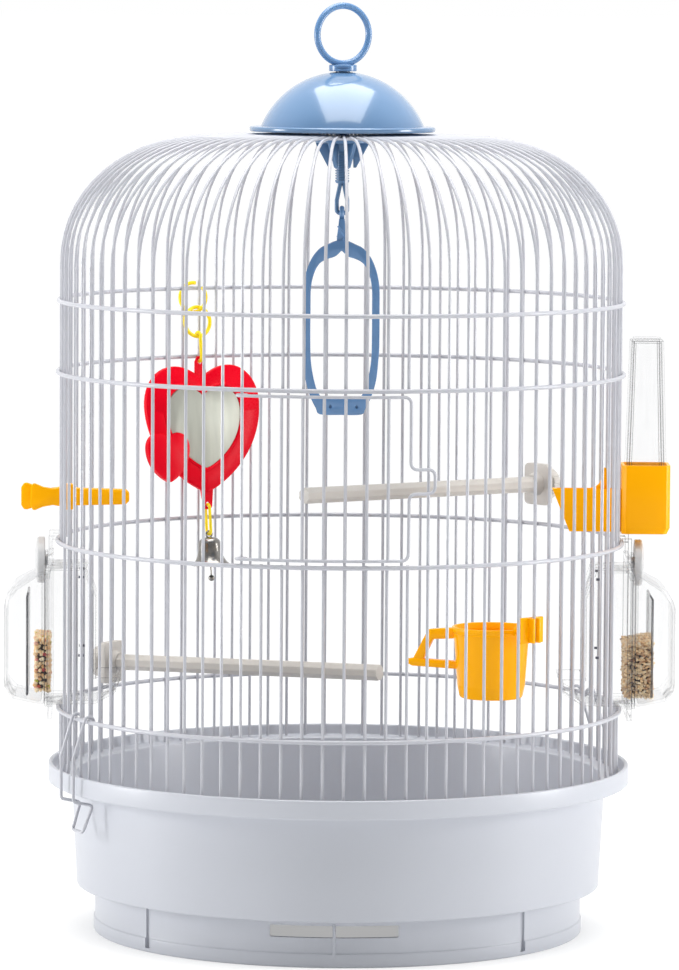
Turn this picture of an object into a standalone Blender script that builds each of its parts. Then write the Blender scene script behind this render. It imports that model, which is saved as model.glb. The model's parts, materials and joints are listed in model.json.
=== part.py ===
"""Round bird cage on a deep tray, with its door, feeders, drinker, perches, swing and toys.

Metres, +Z up, origin at the centre of the foot's underside. The front, with the door, faces -Y.
"""

import math

import bmesh
import bpy
from mathutils import Matrix, Vector

# Clearances and facets
GAP = 0.0003
OVERRUN = 0.004
TINY = 0.000001
SHARP_EDGE = math.radians(35.0)
HOOK_TURN = math.radians(205.0)
TRAY_SEGMENTS = 44
CAP_SEGMENTS = 32
ROUND_SEGMENTS = 20
SMALL_SEGMENTS = 12
BORE_SEGMENTS = 16

# Tray
RIM_RADIUS = 0.1635
RIM_TOP = 0.0950
RIM_HEIGHT = 0.0110
RIM_WALL = 0.0024
RIM_ROUND = 0.0008
GROOVE_DEPTH = 0.0062
RIM_OVERHANG = 0.0135
TUB_DRAFT = 0.0027
TUB_TOP_RADIUS = RIM_RADIUS - RIM_OVERHANG
TUB_LOW_RADIUS = TUB_TOP_RADIUS - TUB_DRAFT
TUB_BOTTOM = 0.0262
TUB_WALL = 0.0026
FOOT_STEP = 0.0103
FOOT_RADIUS = TUB_LOW_RADIUS - FOOT_STEP
FOOT_WALL = 0.0026
LEDGE_HEIGHT = 0.0075
LEDGE_STEP = 0.0007
SLOT_WIDTH = 0.0340
SLOT_HEIGHT = 0.0066
SLOT_TOP = 0.0230
SLOT_RIB = 0.0017
NOTCH_WIDTH = 0.0042
NOTCH_DEPTH = 0.0012
NOTCH_FLOOR = 0.0022
NOTCH_TURN = math.radians(48.5)
TRAY_TURN = math.radians(-0.7)

# Wires of the cage
WIRE_COUNT = 87
WIRE_PHASE = 0.0177
WIRE_INSET = 0.0068
WIRE_RING_RADIUS = RIM_RADIUS - WIRE_INSET
WIRE_CORNER = 0.00105
WIRE_SIDES = 3
SHOULDER_RADIUS = 0.0732
SHOULDER_START = 0.3749
CROWN_HEIGHT = 0.4464
CROWN_RISE = 0.0010
SHOULDER_EXPONENT = 2.1
SHOULDER_STEPS = 4
WIRE_END_RADIUS = 0.0310
DOOR_HINGE_WIRE = -5
DOOR_LATCH_WIRE = 4
LEFT_PANEL_WIRES = (12, 10, 8, 8)
RIGHT_PANEL_WIRES = (12, 10, 9, 8)

# Hoops, from the top down
HOOP_CORNER = 0.00135
HOOP_SIDES = 4
HOOP_SEGMENTS = 42
HOOP_TOP = 0.3545
HOOP_UPPER = 0.3145
HOOP_LOWER = 0.2198
HOOP_BASE = 0.1257
WELD_BITE = 0.00045

# Door
DOOR_TOP = 0.3114
DOOR_BOTTOM = 0.2236
DOOR_CORNER = 0.0030
DOOR_WIRE_CORNER = 0.00100
DOOR_KNUCKLE = 0.0027
DOOR_EDGE_SHARE = 8.07
DOOR_BARS = 7
DOOR_ARC_STEPS = 6
LATCH_HIGH = 0.2770
LATCH_LOW = 0.2550
LATCH_STEP = 0.0045
KNUCKLE_STEP = math.radians(60.0)
KNUCKLE_STEPS = 4
LATCH_REACH_SHARE = 9.25

# Base clips
CLIP_PLACE_SHARES = (-15.5, 28.0)
CLIP_SPREAD_SHARE = 0.72
CLIP_WIRE = 0.00090
CLIP_HOOK_TURN = math.radians(200.0)
CLIP_BULGE = 0.0094
CLIP_BULGE_TOP = 0.0200
CLIP_BULGE_LOW = 0.0437
CLIP_TUCK = 0.0024
CLIP_TUCK_DROP = 0.0463
CLIP_TAB_OUT = 0.0030
CLIP_TAB_DROP = 0.0612
CLIP_TAB_NARROW = 0.0014

# Cap, washer, hub and stem
CAP_BASE_RADIUS = 0.0459
CAP_BALL_RADIUS = 0.0495
CAP_TOP = 0.4827
CAP_WALL = 0.0020
FLANGE_RADIUS = 0.0520
FLANGE_BOTTOM = 0.4489
FLANGE_THICK = 0.0028
WASHER_RADIUS = 0.0335
WASHER_THICK = 0.0014
HUB_RADIUS = 0.0152
HUB_PLATE = 0.0020
HUB_TUBE_RADIUS = 0.0062
HUB_HEIGHT = 0.0158
HUB_FINS = 6
HUB_FIN_THICK = 0.0018
STEM_RADIUS = 0.0040
STEM_BOTTOM = 0.4205
STEM_TOP = 0.4853
EYE_WIRE = 0.0012
EYE_HALF_WIDTH = 0.0032
EYE_HEIGHT = 0.0180
COLLAR_RADIUS = 0.0078
COLLAR_HEIGHT = 0.0036
COLLAR_RECESS = 0.0012
RING_OUTER = 0.0181
RING_BAND = 0.0037
RING_TURN = math.radians(27.0)

# Swing
SWING_HALF_WIDTH = 0.0218
SWING_STRAP = 0.0048
SWING_DEPTH = 0.0070
SWING_SHOULDER = 0.3700
SWING_WAIST = 0.3200
SWING_BAR_TOP = 0.3000
SWING_BAR_BOTTOM = 0.2905
SWING_BAR_HALF = 0.0155
SWING_APEX = 0.3865
SWING_PEAK = 0.3800
SWING_PEAK_OUT = 0.0135
SWING_NECK_RADIUS = 0.0022
SWING_HOOK_WIRE = 0.0014

# Perches
PERCH_RADIUS = 0.0048
PERCH_PAST_CENTRE = 0.0270
PERCH_TIP_BEVEL = 0.0010
PERCH_PLATE_WIDTH = 0.0200
PERCH_PLATE_HEIGHT = 0.0240
PERCH_PLATE_THICK = 0.0040
PERCH_SCREW_RADIUS = 0.0026
PERCH_SCREW_LENGTH = 0.0125
PERCH_NUT_RADIUS = 0.0088
PERCH_NUT_THICK = 0.0050
UPPER_PERCH_HEIGHT = 0.2437
UPPER_PERCH_SHARE = 31.5
UPPER_PERCH_TILT = math.radians(0.8)
LOWER_PERCH_HEIGHT = 0.1408
LOWER_PERCH_SHARE = -29.5
LOWER_PERCH_TILT = math.radians(1.8)

# Hanging toy
TOY_SHARE = -35.5
TOY_LEAN = math.radians(6.3)
TOY_RING_TURN = math.radians(28.0)
TOY_RING_SWAY = math.radians(20.0)
TOY_RING_OUTER = 0.0097
TOY_RING_WIRE = 0.0011
TOY_RING_OPENING = math.radians(36.0)
TOY_RING_START = math.radians(140.0)
TOY_HOOK_OPENING = math.radians(20.0)
TOY_HOOK_LENGTH = 0.0122
TOY_HOOK_WIRE = 0.0010
HEART_WIDTH = 0.0785
HEART_HEIGHT = 0.0740
HEART_DEPTH = 0.0040
HEART_EDGE = 0.0014
HEART_POINTS = 32
HEART_SQUARENESS = 2.3
HEART_WAVE_SHARES = (13.0, -3.2, -1.6, -0.4)
HEART_TAB_RISE = 0.0055
HEART_TAB_WEB = 0.0014
HEART_TAB_MARGIN = 0.0013
HEART_TAIL_LENGTH = 0.0100
MIRROR_WIDTH = 0.0500
MIRROR_HEIGHT = 0.0470
MIRROR_LIFT = 0.0008
MIRROR_THICK = 0.0010
SMALL_HEART_WIDTH = 0.0285
SMALL_HEART_HEIGHT = 0.0285
SMALL_HEART_ASIDE = 0.0265
SMALL_HEART_DROP = 0.0160
SMALL_HEART_PROUD = 0.0016
SMALL_HEART_POINTS = 24
BELL_LINK_LENGTH = 0.0132
BELL_LINK_WIRE = 0.0009
BELL_LOOP_WIRE = 0.0007
BELL_SHOULDER_RADIUS = 0.0063
BELL_WAIST_RADIUS = 0.0072
BELL_RIM_RADIUS = 0.0111
BELL_HEIGHT = 0.0164
BELL_SHOULDER_DROP = 0.0022
BELL_CROWN_SHARE = 0.75
BELL_FLARE_SHARE = 0.8
BELL_WALL = 0.0009
BELL_PIN_WIRE = 0.0006
BELL_PIN_DROP = 0.0045
CLAPPER_WIRE = 0.0005
CLAPPER_BALL_RADIUS = 0.0018
CLAPPER_LENGTH = 0.0195

# Peg clip in the left wall
PEG_SHARE = -21.5
PEG_HEIGHT = 0.2440
PEG_TAIL = 0.0224
PEG_PRONG = 0.0383
PEG_TAIL_HALF = 0.0076
PEG_WAIST_OUT = 0.0040
PEG_WAIST_HALF = 0.0041
PEG_FLARE_IN = 0.0062
PEG_FLARE_HALF = 0.0073
PEG_PRONG_HALF = 0.0045
PEG_TIP_HALF = 0.0040
PEG_END_ROUND = 0.0020
PEG_PIN_RADIUS = 0.0016
PEG_SPREAD = math.radians(6.0)

# Feeders
FEEDER_SHARES = (-21.5, 21.5)
FEEDER_BIN_DEPTH = 0.0260
FEEDER_HALF_WIDTH = 0.0280
FEEDER_NECK_HALF = 0.0245
FEEDER_WALL = 0.0014
FEEDER_BOTTOM = 0.1286
FEEDER_HEIGHT = 0.0744
FEEDER_TOP = FEEDER_BOTTOM + FEEDER_HEIGHT
FEEDER_SLOPE = 0.0030
FEEDER_CORNER = 0.0050
FEEDER_TOP_CORNER_SHARES = ((2.0, 0.0), (0.6, 1.2), (0.0, 2.8))
FEEDER_LOW_CORNER_SHARES = ((0.0, 2.2), (0.6, 0.9))
FEEDER_HEEL_SHARE = 2.4
FEEDER_HEEL_SLOPE_SHARE = 0.8
FEEDER_HOOD_RISE = 0.0030
FEEDER_HOOD_TOP = FEEDER_TOP + FEEDER_HOOD_RISE
FEEDER_HOOD_REACH = 0.0271
FEEDER_HOOD_DROP = 0.0160
FEEDER_HOOD_SHOULDER = FEEDER_HOOD_TOP - FEEDER_HOOD_DROP
FEEDER_TROUGH_REACH = 0.0411
FEEDER_TROUGH_RISE = 0.0159
FEEDER_TROUGH_DEPTH = 0.0085
FEEDER_TROUGH_TOP = FEEDER_BOTTOM + FEEDER_TROUGH_RISE
FEEDER_TROUGH_FLOOR = FEEDER_TROUGH_TOP - FEEDER_TROUGH_DEPTH
FEEDER_TROUGH_SLANT = 0.0030
FEEDER_SLACK = 0.0005
FEEDER_FRAME_RISE = 0.0060
FEEDER_FRAME_DROP = 0.0066
FEEDER_FRAME_TOP = FEEDER_HOOD_TOP + FEEDER_FRAME_RISE
FEEDER_FRAME_BOTTOM = FEEDER_BOTTOM - FEEDER_FRAME_DROP
FEEDER_FRAME_HALF = 0.0295
FEEDER_FRAME_THICK = 0.0026
FEEDER_PARTITION = 0.0110
FEEDER_PARTITION_DROP = 0.0080
FEEDER_PARTITION_TOP = FEEDER_TOP - FEEDER_PARTITION_DROP
FEEDER_HOOK_WIDTH = 0.0060
FEEDER_HOOK_SPREAD = 0.0180
FEEDER_HOOK_LIP = 0.0031
FEEDER_HOOK_THICK = 0.0020
FEEDER_LUG_HALF = 0.0055
FEEDER_LUG_RISE = 0.0105
FEEDER_LUG_TOP = FEEDER_TOP + FEEDER_LUG_RISE
KNOB_RISE = 0.0053
KNOB_HEIGHT = FEEDER_TOP + KNOB_RISE
KNOB_RADIUS = 0.0130
KNOB_THICK = 0.0055
KNOB_STUB_RADIUS = 0.0030
KNOB_ROUND = 0.0010
SEED_RISE = 0.0215
SEED_TOP = FEEDER_TROUGH_TOP + SEED_RISE
SEED_HEAP = 0.0030

# Drinker in the right wall
DRINKER_SHARE = 21.5
DRINKER_DEPTH = 0.0268
DRINKER_HALF = 0.0137
DRINKER_BOTTOM = 0.2254
DRINKER_HEIGHT = 0.0386
DRINKER_RIM = DRINKER_BOTTOM + DRINKER_HEIGHT
DRINKER_CORNER = 0.0022
DRINKER_WALL = 0.0016
DRINKER_FLOOR_RISE = 0.0036
DRINKER_FLOOR = DRINKER_BOTTOM + DRINKER_FLOOR_RISE
DRINKER_LEDGE = 0.0016
TANK_SINK = 0.0080
TANK_HEIGHT = 0.0793
TANK_SEAT = DRINKER_RIM - TANK_SINK
TANK_TOP = TANK_SEAT + TANK_HEIGHT
TANK_WALL = 0.0012
TANK_TAPER = 0.0023
TANK_CORNER = 0.0016
BEAK_REACH = 0.0388
BEAK_HEIGHT = 0.0246
BEAK_TOP = DRINKER_BOTTOM + BEAK_HEIGHT
BEAK_HALF = 0.0040
BEAK_WALL = 0.0012
BEAK_SLANT = 0.0097
CATCH_PLACE = 0.0125
CATCH_RISE = 0.0120
CATCH_TOP = BEAK_TOP + CATCH_RISE
CATCH_LENGTH = 0.0045

# Treat cup inside the front right wall
CUP_SHARE = 10.0
CUP_INSET = 0.0331
CUP_CENTRE_RADIUS = WIRE_RING_RADIUS - CUP_INSET
CUP_RIM_HEIGHT = 0.1818
CUP_RIM_RADIUS = 0.0218
CUP_RIM_BAND = 0.0060
CUP_TOP_RADIUS = 0.0205
CUP_LOW_RADIUS = 0.0180
CUP_ROUND = 0.0040
CUP_DEPTH = 0.0403
CUP_WALL = 0.0014
CUP_HANDLE_TURN = math.radians(-147.0)
CUP_BAR_HALF = 0.0030
CUP_BAR_THICK = 0.0042
CUP_BAR_DROP = 0.0195
CUP_BAR_REACH = 0.0475
CUP_ARM_DROP = 0.0045
CUP_ARM_THICK = 0.0045
CUP_ARM_REACH = 0.0345
CUP_ARM_FOOT = 0.0410
CUP_HANGER_HALF = 0.0085
CUP_HANGER_RISE = 0.0076
CUP_HANGER_DROP = 0.0065
CUP_HANGER_THICK = 0.0020
CUP_FINGER_THICK = 0.0016
CUP_FINGER_REACH = 0.0040

# Colours, roughness and metallic value of each material
WHITE_PLASTIC = ((0.72, 0.74, 0.80), 0.30, 0.0)
WHITE_COATING = ((0.66, 0.68, 0.74), 0.35, 0.0)
BLUE_PLASTIC = ((0.17, 0.33, 0.58), 0.22, 0.0)
YELLOW_PLASTIC = ((0.95, 0.40, 0.02), 0.30, 0.0)
LEMON_PLASTIC = ((0.92, 0.66, 0.04), 0.30, 0.0)
RED_PLASTIC = ((0.85, 0.01, 0.03), 0.22, 0.0)
GREY_PLASTIC = ((0.55, 0.52, 0.49), 0.55, 0.0)
CLEAR_PLASTIC = ((0.86, 0.88, 0.90), 0.08, 0.0)
KNOB_PLASTIC = ((0.74, 0.74, 0.74), 0.40, 0.0)
MIRROR_FOIL = ((0.50, 0.52, 0.46), 0.08, 1.0)
NICKEL = ((0.34, 0.33, 0.31), 0.25, 1.0)
SEED_MIX = ((0.42, 0.22, 0.08), 0.70, 0.0)


def clear_scene():
    """Removes every object of the scene."""
    for thing in list(bpy.data.objects):
        bpy.data.objects.remove(thing, do_unlink=True)


def material(name, finish):
    """Returns the material of that name, made at its first use."""
    known = bpy.data.materials.get(name)
    if known:
        return known
    colour, roughness, metallic = finish
    made = bpy.data.materials.new(name)
    made.use_nodes = True
    shader = made.node_tree.nodes["Principled BSDF"]
    shader.inputs["Base Color"].default_value = (*colour, 1.0)
    shader.inputs["Roughness"].default_value = roughness
    shader.inputs["Metallic"].default_value = metallic
    made.diffuse_color = (*colour, 1.0)
    return made


def place(name, shape, finish, origin=Vector(), turn=0.0, tilt=0.0, parent=None):
    """Makes the object of one piece from a bmesh in its own frame, and sets it in its place."""
    mesh = bpy.data.meshes.new(name)
    shape.to_mesh(mesh)
    shape.free()
    mesh.shade_smooth()
    mesh.set_sharp_from_angle(angle=SHARP_EDGE)
    mesh.materials.append(material(name + "_finish", finish))
    piece = bpy.data.objects.new(name, mesh)
    bpy.context.collection.objects.link(piece)
    piece.parent = parent
    piece.location = origin
    piece.rotation_euler = (0.0, tilt, turn)
    return piece


def empty(name, origin, turn=0.0):
    """Makes an empty that carries the pieces of one body."""
    carrier = bpy.data.objects.new(name, None)
    bpy.context.collection.objects.link(carrier)
    carrier.location = origin
    carrier.rotation_euler = (0.0, 0.0, turn)
    return carrier


def combine(first, second, operation):
    """Joins or cuts two closed shapes, and returns the result."""
    operands = []
    for shape in (first, second):
        mesh = bpy.data.meshes.new("operand")
        shape.to_mesh(mesh)
        shape.free()
        operand = bpy.data.objects.new("operand", mesh)
        bpy.context.collection.objects.link(operand)
        operands.append(operand)
    step = operands[0].modifiers.new("step", "BOOLEAN")
    step.operation = operation
    step.solver = "EXACT"
    step.object = operands[1]
    result = bmesh.new()
    result.from_object(operands[0], bpy.context.evaluated_depsgraph_get())
    for operand in operands:
        mesh = operand.data
        bpy.data.objects.remove(operand, do_unlink=True)
        bpy.data.meshes.remove(mesh)
    return result


def join(*shapes):
    """Unites closed shapes that overlap."""
    whole = shapes[0]
    for shape in shapes[1:]:
        whole = combine(whole, shape, "UNION")
    return whole


def cut(shape, *tools):
    """Cuts closed tools out of a shape."""
    for tool in tools:
        shape = combine(shape, tool, "DIFFERENCE")
    return shape


def moved(shape, matrix):
    """Moves a shape in its own frame."""
    bmesh.ops.transform(shape, matrix=matrix, verts=shape.verts)
    return shape


def closed_skin(shape):
    """Turns the faces of a new closed shape to point out of it."""
    bmesh.ops.recalc_face_normals(shape, faces=shape.faces)
    return shape


def turned(profile, segments=ROUND_SEGMENTS):
    """Turns a profile of (radius, height) points about Z; it is closed on itself or ends on the axis."""
    shape = bmesh.new()
    points = [shape.verts.new((radius, 0.0, height)) for radius, height in profile]
    edges = [shape.edges.new(pair) for pair in zip(points, points[1:])]
    if profile[0][0] > 0.0:
        edges.append(shape.edges.new((points[-1], points[0])))
    bmesh.ops.spin(
        shape,
        geom=points + edges,
        axis=(0.0, 0.0, 1.0),
        cent=(0.0, 0.0, 0.0),
        angle=math.tau,
        steps=segments,
        use_merge=True,
    )
    bmesh.ops.remove_doubles(shape, verts=shape.verts, dist=TINY)
    return closed_skin(shape)


def prism(outline, low, high):
    """Extrudes an outline of (x, z) points along Y from low to high."""
    shape = bmesh.new()
    near = [shape.verts.new((x, low, z)) for x, z in outline]
    far = [shape.verts.new((x, high, z)) for x, z in outline]
    shape.faces.new(near)
    shape.faces.new(reversed(far))
    for i, point in enumerate(near):
        after = (i + 1) % len(near)
        shape.faces.new((point, far[i], far[after], near[after]))
    return closed_skin(shape)


def band(outer, inner, low, high):
    """Extrudes the band between two outlines of as many (x, z) points along Y from low to high."""
    shape = bmesh.new()
    loops = []
    for outline in (outer, inner):
        for depth in (low, high):
            loops.append([shape.verts.new((x, depth, z)) for x, z in outline])
    outer_near, outer_far, inner_near, inner_far = loops
    loops = (outer_near, outer_far, inner_far, inner_near)
    for pair in zip(loops, loops[1:] + loops[:1]):
        for i in range(len(outer)):
            after = (i + 1) % len(outer)
            shape.faces.new((pair[0][i], pair[0][after], pair[1][after], pair[1][i]))
    return closed_skin(shape)


def box(low, high):
    """Makes a box between two corners."""
    outline = [(low[0], low[2]), (high[0], low[2]), (high[0], high[2]), (low[0], high[2])]
    return prism(outline, low[1], high[1])


def rod(radius, start, end, segments=SMALL_SEGMENTS):
    """Makes a round bar between two points."""
    start, end = Vector(start), Vector(end)
    shape = bmesh.new()
    bmesh.ops.create_cone(
        shape,
        cap_ends=True,
        segments=segments,
        radius1=radius,
        radius2=radius,
        depth=(end - start).length,
    )
    turn = (end - start).to_track_quat("Z", "Y").to_matrix().to_4x4()
    return moved(shape, Matrix.Translation((start + end) / 2) @ turn)


def sweep(path, corner, sides, normal, closed=False, spin=0.0, shape=None):
    """Sweeps a polygon along a path; normal is the direction of its first corner at the start."""
    shape = shape or bmesh.new()
    points = [Vector(point) for point in path]
    count = len(points)
    rings = []
    normal = Vector(normal)
    for i, point in enumerate(points):
        before = points[i - 1] if i or closed else point
        after = points[(i + 1) % count] if i + 1 < count or closed else point
        along = (after - point).normalized() + (point - before).normalized()
        along.normalize()
        normal = (normal - normal.dot(along) * along).normalized()
        across = along.cross(normal)
        ring = []
        for side in range(sides):
            angle = spin + math.tau * side / sides
            aim = math.cos(angle) * normal + math.sin(angle) * across
            ring.append(shape.verts.new(point + corner * aim))
        rings.append(ring)
    spans = list(zip(rings, rings[1:]))
    if closed:
        spans.append((rings[-1], rings[0]))
        skin = []
    else:
        skin = [shape.faces.new(reversed(rings[0])), shape.faces.new(rings[-1])]
    for low, high in spans:
        for side in range(sides):
            after = (side + 1) % sides
            skin.append(shape.faces.new((low[side], low[after], high[after], high[side])))
    bmesh.ops.recalc_face_normals(shape, faces=skin)
    return shape


def arc(centre, radius, first, last, steps):
    """Returns points of an arc as (x, z) pairs, from angle first to angle last."""
    angles = [first + (last - first) * i / steps for i in range(steps + 1)]
    return [(centre[0] + radius * math.cos(a), centre[1] + radius * math.sin(a)) for a in angles]


def wire_angle(share):
    """Returns the angle about Z, from the front, of a place counted in wire pitches."""
    return WIRE_PHASE + share * math.tau / WIRE_COUNT


def on_wall(angle, radius, height):
    """Returns the point at an angle from the front, a radius and a height."""
    return Vector((radius * math.sin(angle), -radius * math.cos(angle), height))


def outward(angle):
    """Returns the direction that points out of the wall at an angle."""
    return Vector((math.sin(angle), -math.cos(angle), 0.0))


def heading(angle):
    """Returns the turn about Z that brings +X to point out of the wall at an angle."""
    return angle - math.pi / 2


WIRE_FOOT = RIM_TOP - GROOVE_DEPTH + GAP
HOOP_HALF = HOOP_CORNER * math.cos(math.pi / HOOP_SIDES)
WELDED_HOOP_RADIUS = WIRE_RING_RADIUS + WIRE_CORNER - WELD_BITE + HOOP_HALF
FREE_HOOP_RADIUS = (WIRE_RING_RADIUS + WIRE_CORNER + GAP + HOOP_HALF) / math.cos(math.pi / HOOP_SEGMENTS)
HOOP_OUTSIDE = FREE_HOOP_RADIUS + HOOP_CORNER
FEEDER_FACE = HOOP_OUTSIDE + GAP
DOOR_RADIUS = WIRE_RING_RADIUS + DOOR_KNUCKLE
EYE_BAR = STEM_BOTTOM - EYE_HEIGHT + EYE_WIRE
FEEDER_SHOULDER = FEEDER_FACE + FEEDER_FRAME_THICK + GAP
FEEDER_REACH = FEEDER_SHOULDER + FEEDER_BIN_DEPTH
FEEDER_CUT_REACH = FEEDER_NECK_HALF + 2.0 * WIRE_CORNER


def build_tray():
    """Makes the tray: a turned shell with gripping slots and notches in its foot."""
    foot_inside = FOOT_RADIUS - FOOT_WALL
    floor_top = TUB_BOTTOM + TUB_WALL
    groove_floor = RIM_TOP - GROOVE_DEPTH
    profile = [
        (0.0, TUB_BOTTOM),
        (foot_inside, TUB_BOTTOM),
        (foot_inside, 0.0),
        (FOOT_RADIUS + LEDGE_STEP, 0.0),
        (FOOT_RADIUS + LEDGE_STEP, LEDGE_HEIGHT),
        (FOOT_RADIUS, LEDGE_HEIGHT),
        (FOOT_RADIUS, TUB_BOTTOM),
        (TUB_LOW_RADIUS - RIM_ROUND, TUB_BOTTOM),
        (TUB_LOW_RADIUS, TUB_BOTTOM + RIM_ROUND),
        (TUB_TOP_RADIUS, RIM_TOP - RIM_HEIGHT),
        (RIM_RADIUS - RIM_ROUND, RIM_TOP - RIM_HEIGHT),
        (RIM_RADIUS, RIM_TOP - RIM_HEIGHT + RIM_ROUND),
        (RIM_RADIUS, RIM_TOP - RIM_ROUND),
        (RIM_RADIUS - RIM_ROUND, RIM_TOP),
        (RIM_RADIUS - RIM_WALL, RIM_TOP),
        (RIM_RADIUS - RIM_WALL - RIM_ROUND, groove_floor),
        (TUB_TOP_RADIUS - TUB_WALL, groove_floor),
        (TUB_LOW_RADIUS - TUB_WALL, floor_top),
        (0.0, floor_top),
    ]
    shell = turned(profile, TRAY_SEGMENTS)
    slots = []
    for facing in (0.0, math.pi):
        for side in (-1.0, 1.0):
            inner = side * SLOT_RIB / 2
            outer = side * (SLOT_RIB / 2 + SLOT_WIDTH)
            slot = box(
                (min(inner, outer), -FOOT_RADIUS - OVERRUN, SLOT_TOP - SLOT_HEIGHT),
                (max(inner, outer), -foot_inside + SLOT_WIDTH / 2, SLOT_TOP),
            )
            slots.append(moved(slot, Matrix.Rotation(facing, 4, "Z")))
    for facing in (-NOTCH_TURN, NOTCH_TURN, math.pi - NOTCH_TURN, math.pi + NOTCH_TURN):
        notch = box(
            (-NOTCH_WIDTH / 2, -FOOT_RADIUS - OVERRUN, NOTCH_FLOOR),
            (NOTCH_WIDTH / 2, -FOOT_RADIUS + NOTCH_DEPTH, TUB_BOTTOM - NOTCH_DEPTH),
        )
        slots.append(moved(notch, Matrix.Rotation(facing, 4, "Z")))
    shell = cut(shell, *slots)
    for facing in (0.0, math.pi):
        rib = box(
            (-SLOT_RIB / 2, -FOOT_RADIUS - SLOT_RIB / 2, LEDGE_HEIGHT - NOTCH_FLOOR),
            (SLOT_RIB / 2, -FOOT_RADIUS + FOOT_WALL / 2, SLOT_TOP + NOTCH_DEPTH),
        )
        shell = join(shell, moved(rib, Matrix.Rotation(facing, 4, "Z")))
    place("base_tray", shell, WHITE_PLASTIC, turn=TRAY_TURN)


def crown_path():
    """Returns the (radius, height) points of a wire from its shoulder to its end under the cap."""
    points = []
    for i in range(SHOULDER_STEPS + 1):
        angle = math.pi / 2 * i / SHOULDER_STEPS
        across = math.cos(angle) ** (2.0 / SHOULDER_EXPONENT)
        up = math.sin(angle) ** (2.0 / SHOULDER_EXPONENT)
        radius = SHOULDER_RADIUS + (WIRE_RING_RADIUS - SHOULDER_RADIUS) * across
        points.append((radius, SHOULDER_START + (CROWN_HEIGHT - SHOULDER_START) * up))
    points.append((WIRE_END_RADIUS, CROWN_HEIGHT + CROWN_RISE))
    return points


def feeder_offset(index):
    """Returns how far along the wall a wire lies from the middle of the nearer feeder."""
    return min(abs(wire_angle(index) - wire_angle(share)) for share in FEEDER_SHARES) * WIRE_RING_RADIUS


def wire_runs(index):
    """Returns the (radius, height) runs of one wire, cut at the door and at the feeders."""
    foot = (WIRE_RING_RADIUS, WIRE_FOOT)
    reach = HOOP_CORNER
    if DOOR_HINGE_WIRE < index < DOOR_LATCH_WIRE:
        stub_top, crown_foot = HOOP_LOWER + reach, HOOP_UPPER - reach
    elif feeder_offset(index) < FEEDER_CUT_REACH:
        stub_top, crown_foot = HOOP_BASE + reach, HOOP_LOWER - reach
    else:
        return [[foot] + crown_path()]
    return [[foot, (WIRE_RING_RADIUS, stub_top)], [(WIRE_RING_RADIUS, crown_foot)] + crown_path()]


def build_panel(name, first, last):
    """Makes one panel of the cage: its wires, with their arcs of the top and base hoops."""
    wires = bmesh.new()
    for index in range(first, last + 1):
        angle = wire_angle(index)
        for run in wire_runs(index):
            path = [on_wall(angle, radius, height) for radius, height in run]
            sweep(path, WIRE_CORNER, WIRE_SIDES, outward(angle), shape=wires)
    hoops = bmesh.new()
    half = math.tau / WIRE_COUNT / 2 - GAP / WIRE_RING_RADIUS
    low, high = wire_angle(first) - half, wire_angle(last) + half
    steps = math.ceil((last - first + 1) / 2)
    for height in (HOOP_BASE, HOOP_TOP):
        angles = [low + (high - low) * i / steps for i in range(steps + 1)]
        path = [on_wall(angle, WELDED_HOOP_RADIUS, height) for angle in angles]
        sweep(path, HOOP_CORNER, HOOP_SIDES, outward(low), spin=math.pi / HOOP_SIDES, shape=hoops)
    place(name, combine(wires, hoops, "UNION"), WHITE_COATING)


def build_cage():
    """Makes the panels of wires and the two hoops beside the door opening."""
    build_panel("front_panel", DOOR_HINGE_WIRE, DOOR_LATCH_WIRE)
    last = DOOR_HINGE_WIRE - 1
    for number, count in enumerate(LEFT_PANEL_WIRES, 1):
        build_panel("left_panel_%d" % number, last - count + 1, last)
        last -= count
    first = DOOR_LATCH_WIRE + 1
    for number, count in enumerate(RIGHT_PANEL_WIRES, 1):
        build_panel("right_panel_%d" % number, first, first + count - 1)
        first += count
    for name, height in (("upper_hoop", HOOP_UPPER), ("lower_hoop", HOOP_LOWER)):
        angles = [math.tau * i / HOOP_SEGMENTS for i in range(HOOP_SEGMENTS)]
        path = [on_wall(angle, FREE_HOOP_RADIUS, height) for angle in angles]
        half_side = math.pi / HOOP_SIDES
        ring = sweep(path, HOOP_CORNER, HOOP_SIDES, outward(angles[0]), closed=True, spin=half_side)
        place(name, ring, WHITE_COATING)


def door_angle(share):
    """Returns the angle of a place on the door, in wire pitches from its hinge."""
    return wire_angle(DOOR_HINGE_WIRE + share)


def knuckle(height, turn_sign):
    """Returns the points of the loop that a door wire makes round the hinge wire."""
    angle = door_angle(0.0)
    centre = on_wall(angle, WIRE_RING_RADIUS, height)
    away, along = outward(angle), Vector((math.cos(angle), math.sin(angle), 0.0))
    points = []
    for i in range(KNUCKLE_STEPS + 1):
        bend = -KNUCKLE_STEP * (KNUCKLE_STEPS - i)
        points.append(centre + DOOR_KNUCKLE * (math.cos(bend) * away + math.sin(bend) * along))
    return points if turn_sign > 0 else list(reversed(points))


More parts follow.
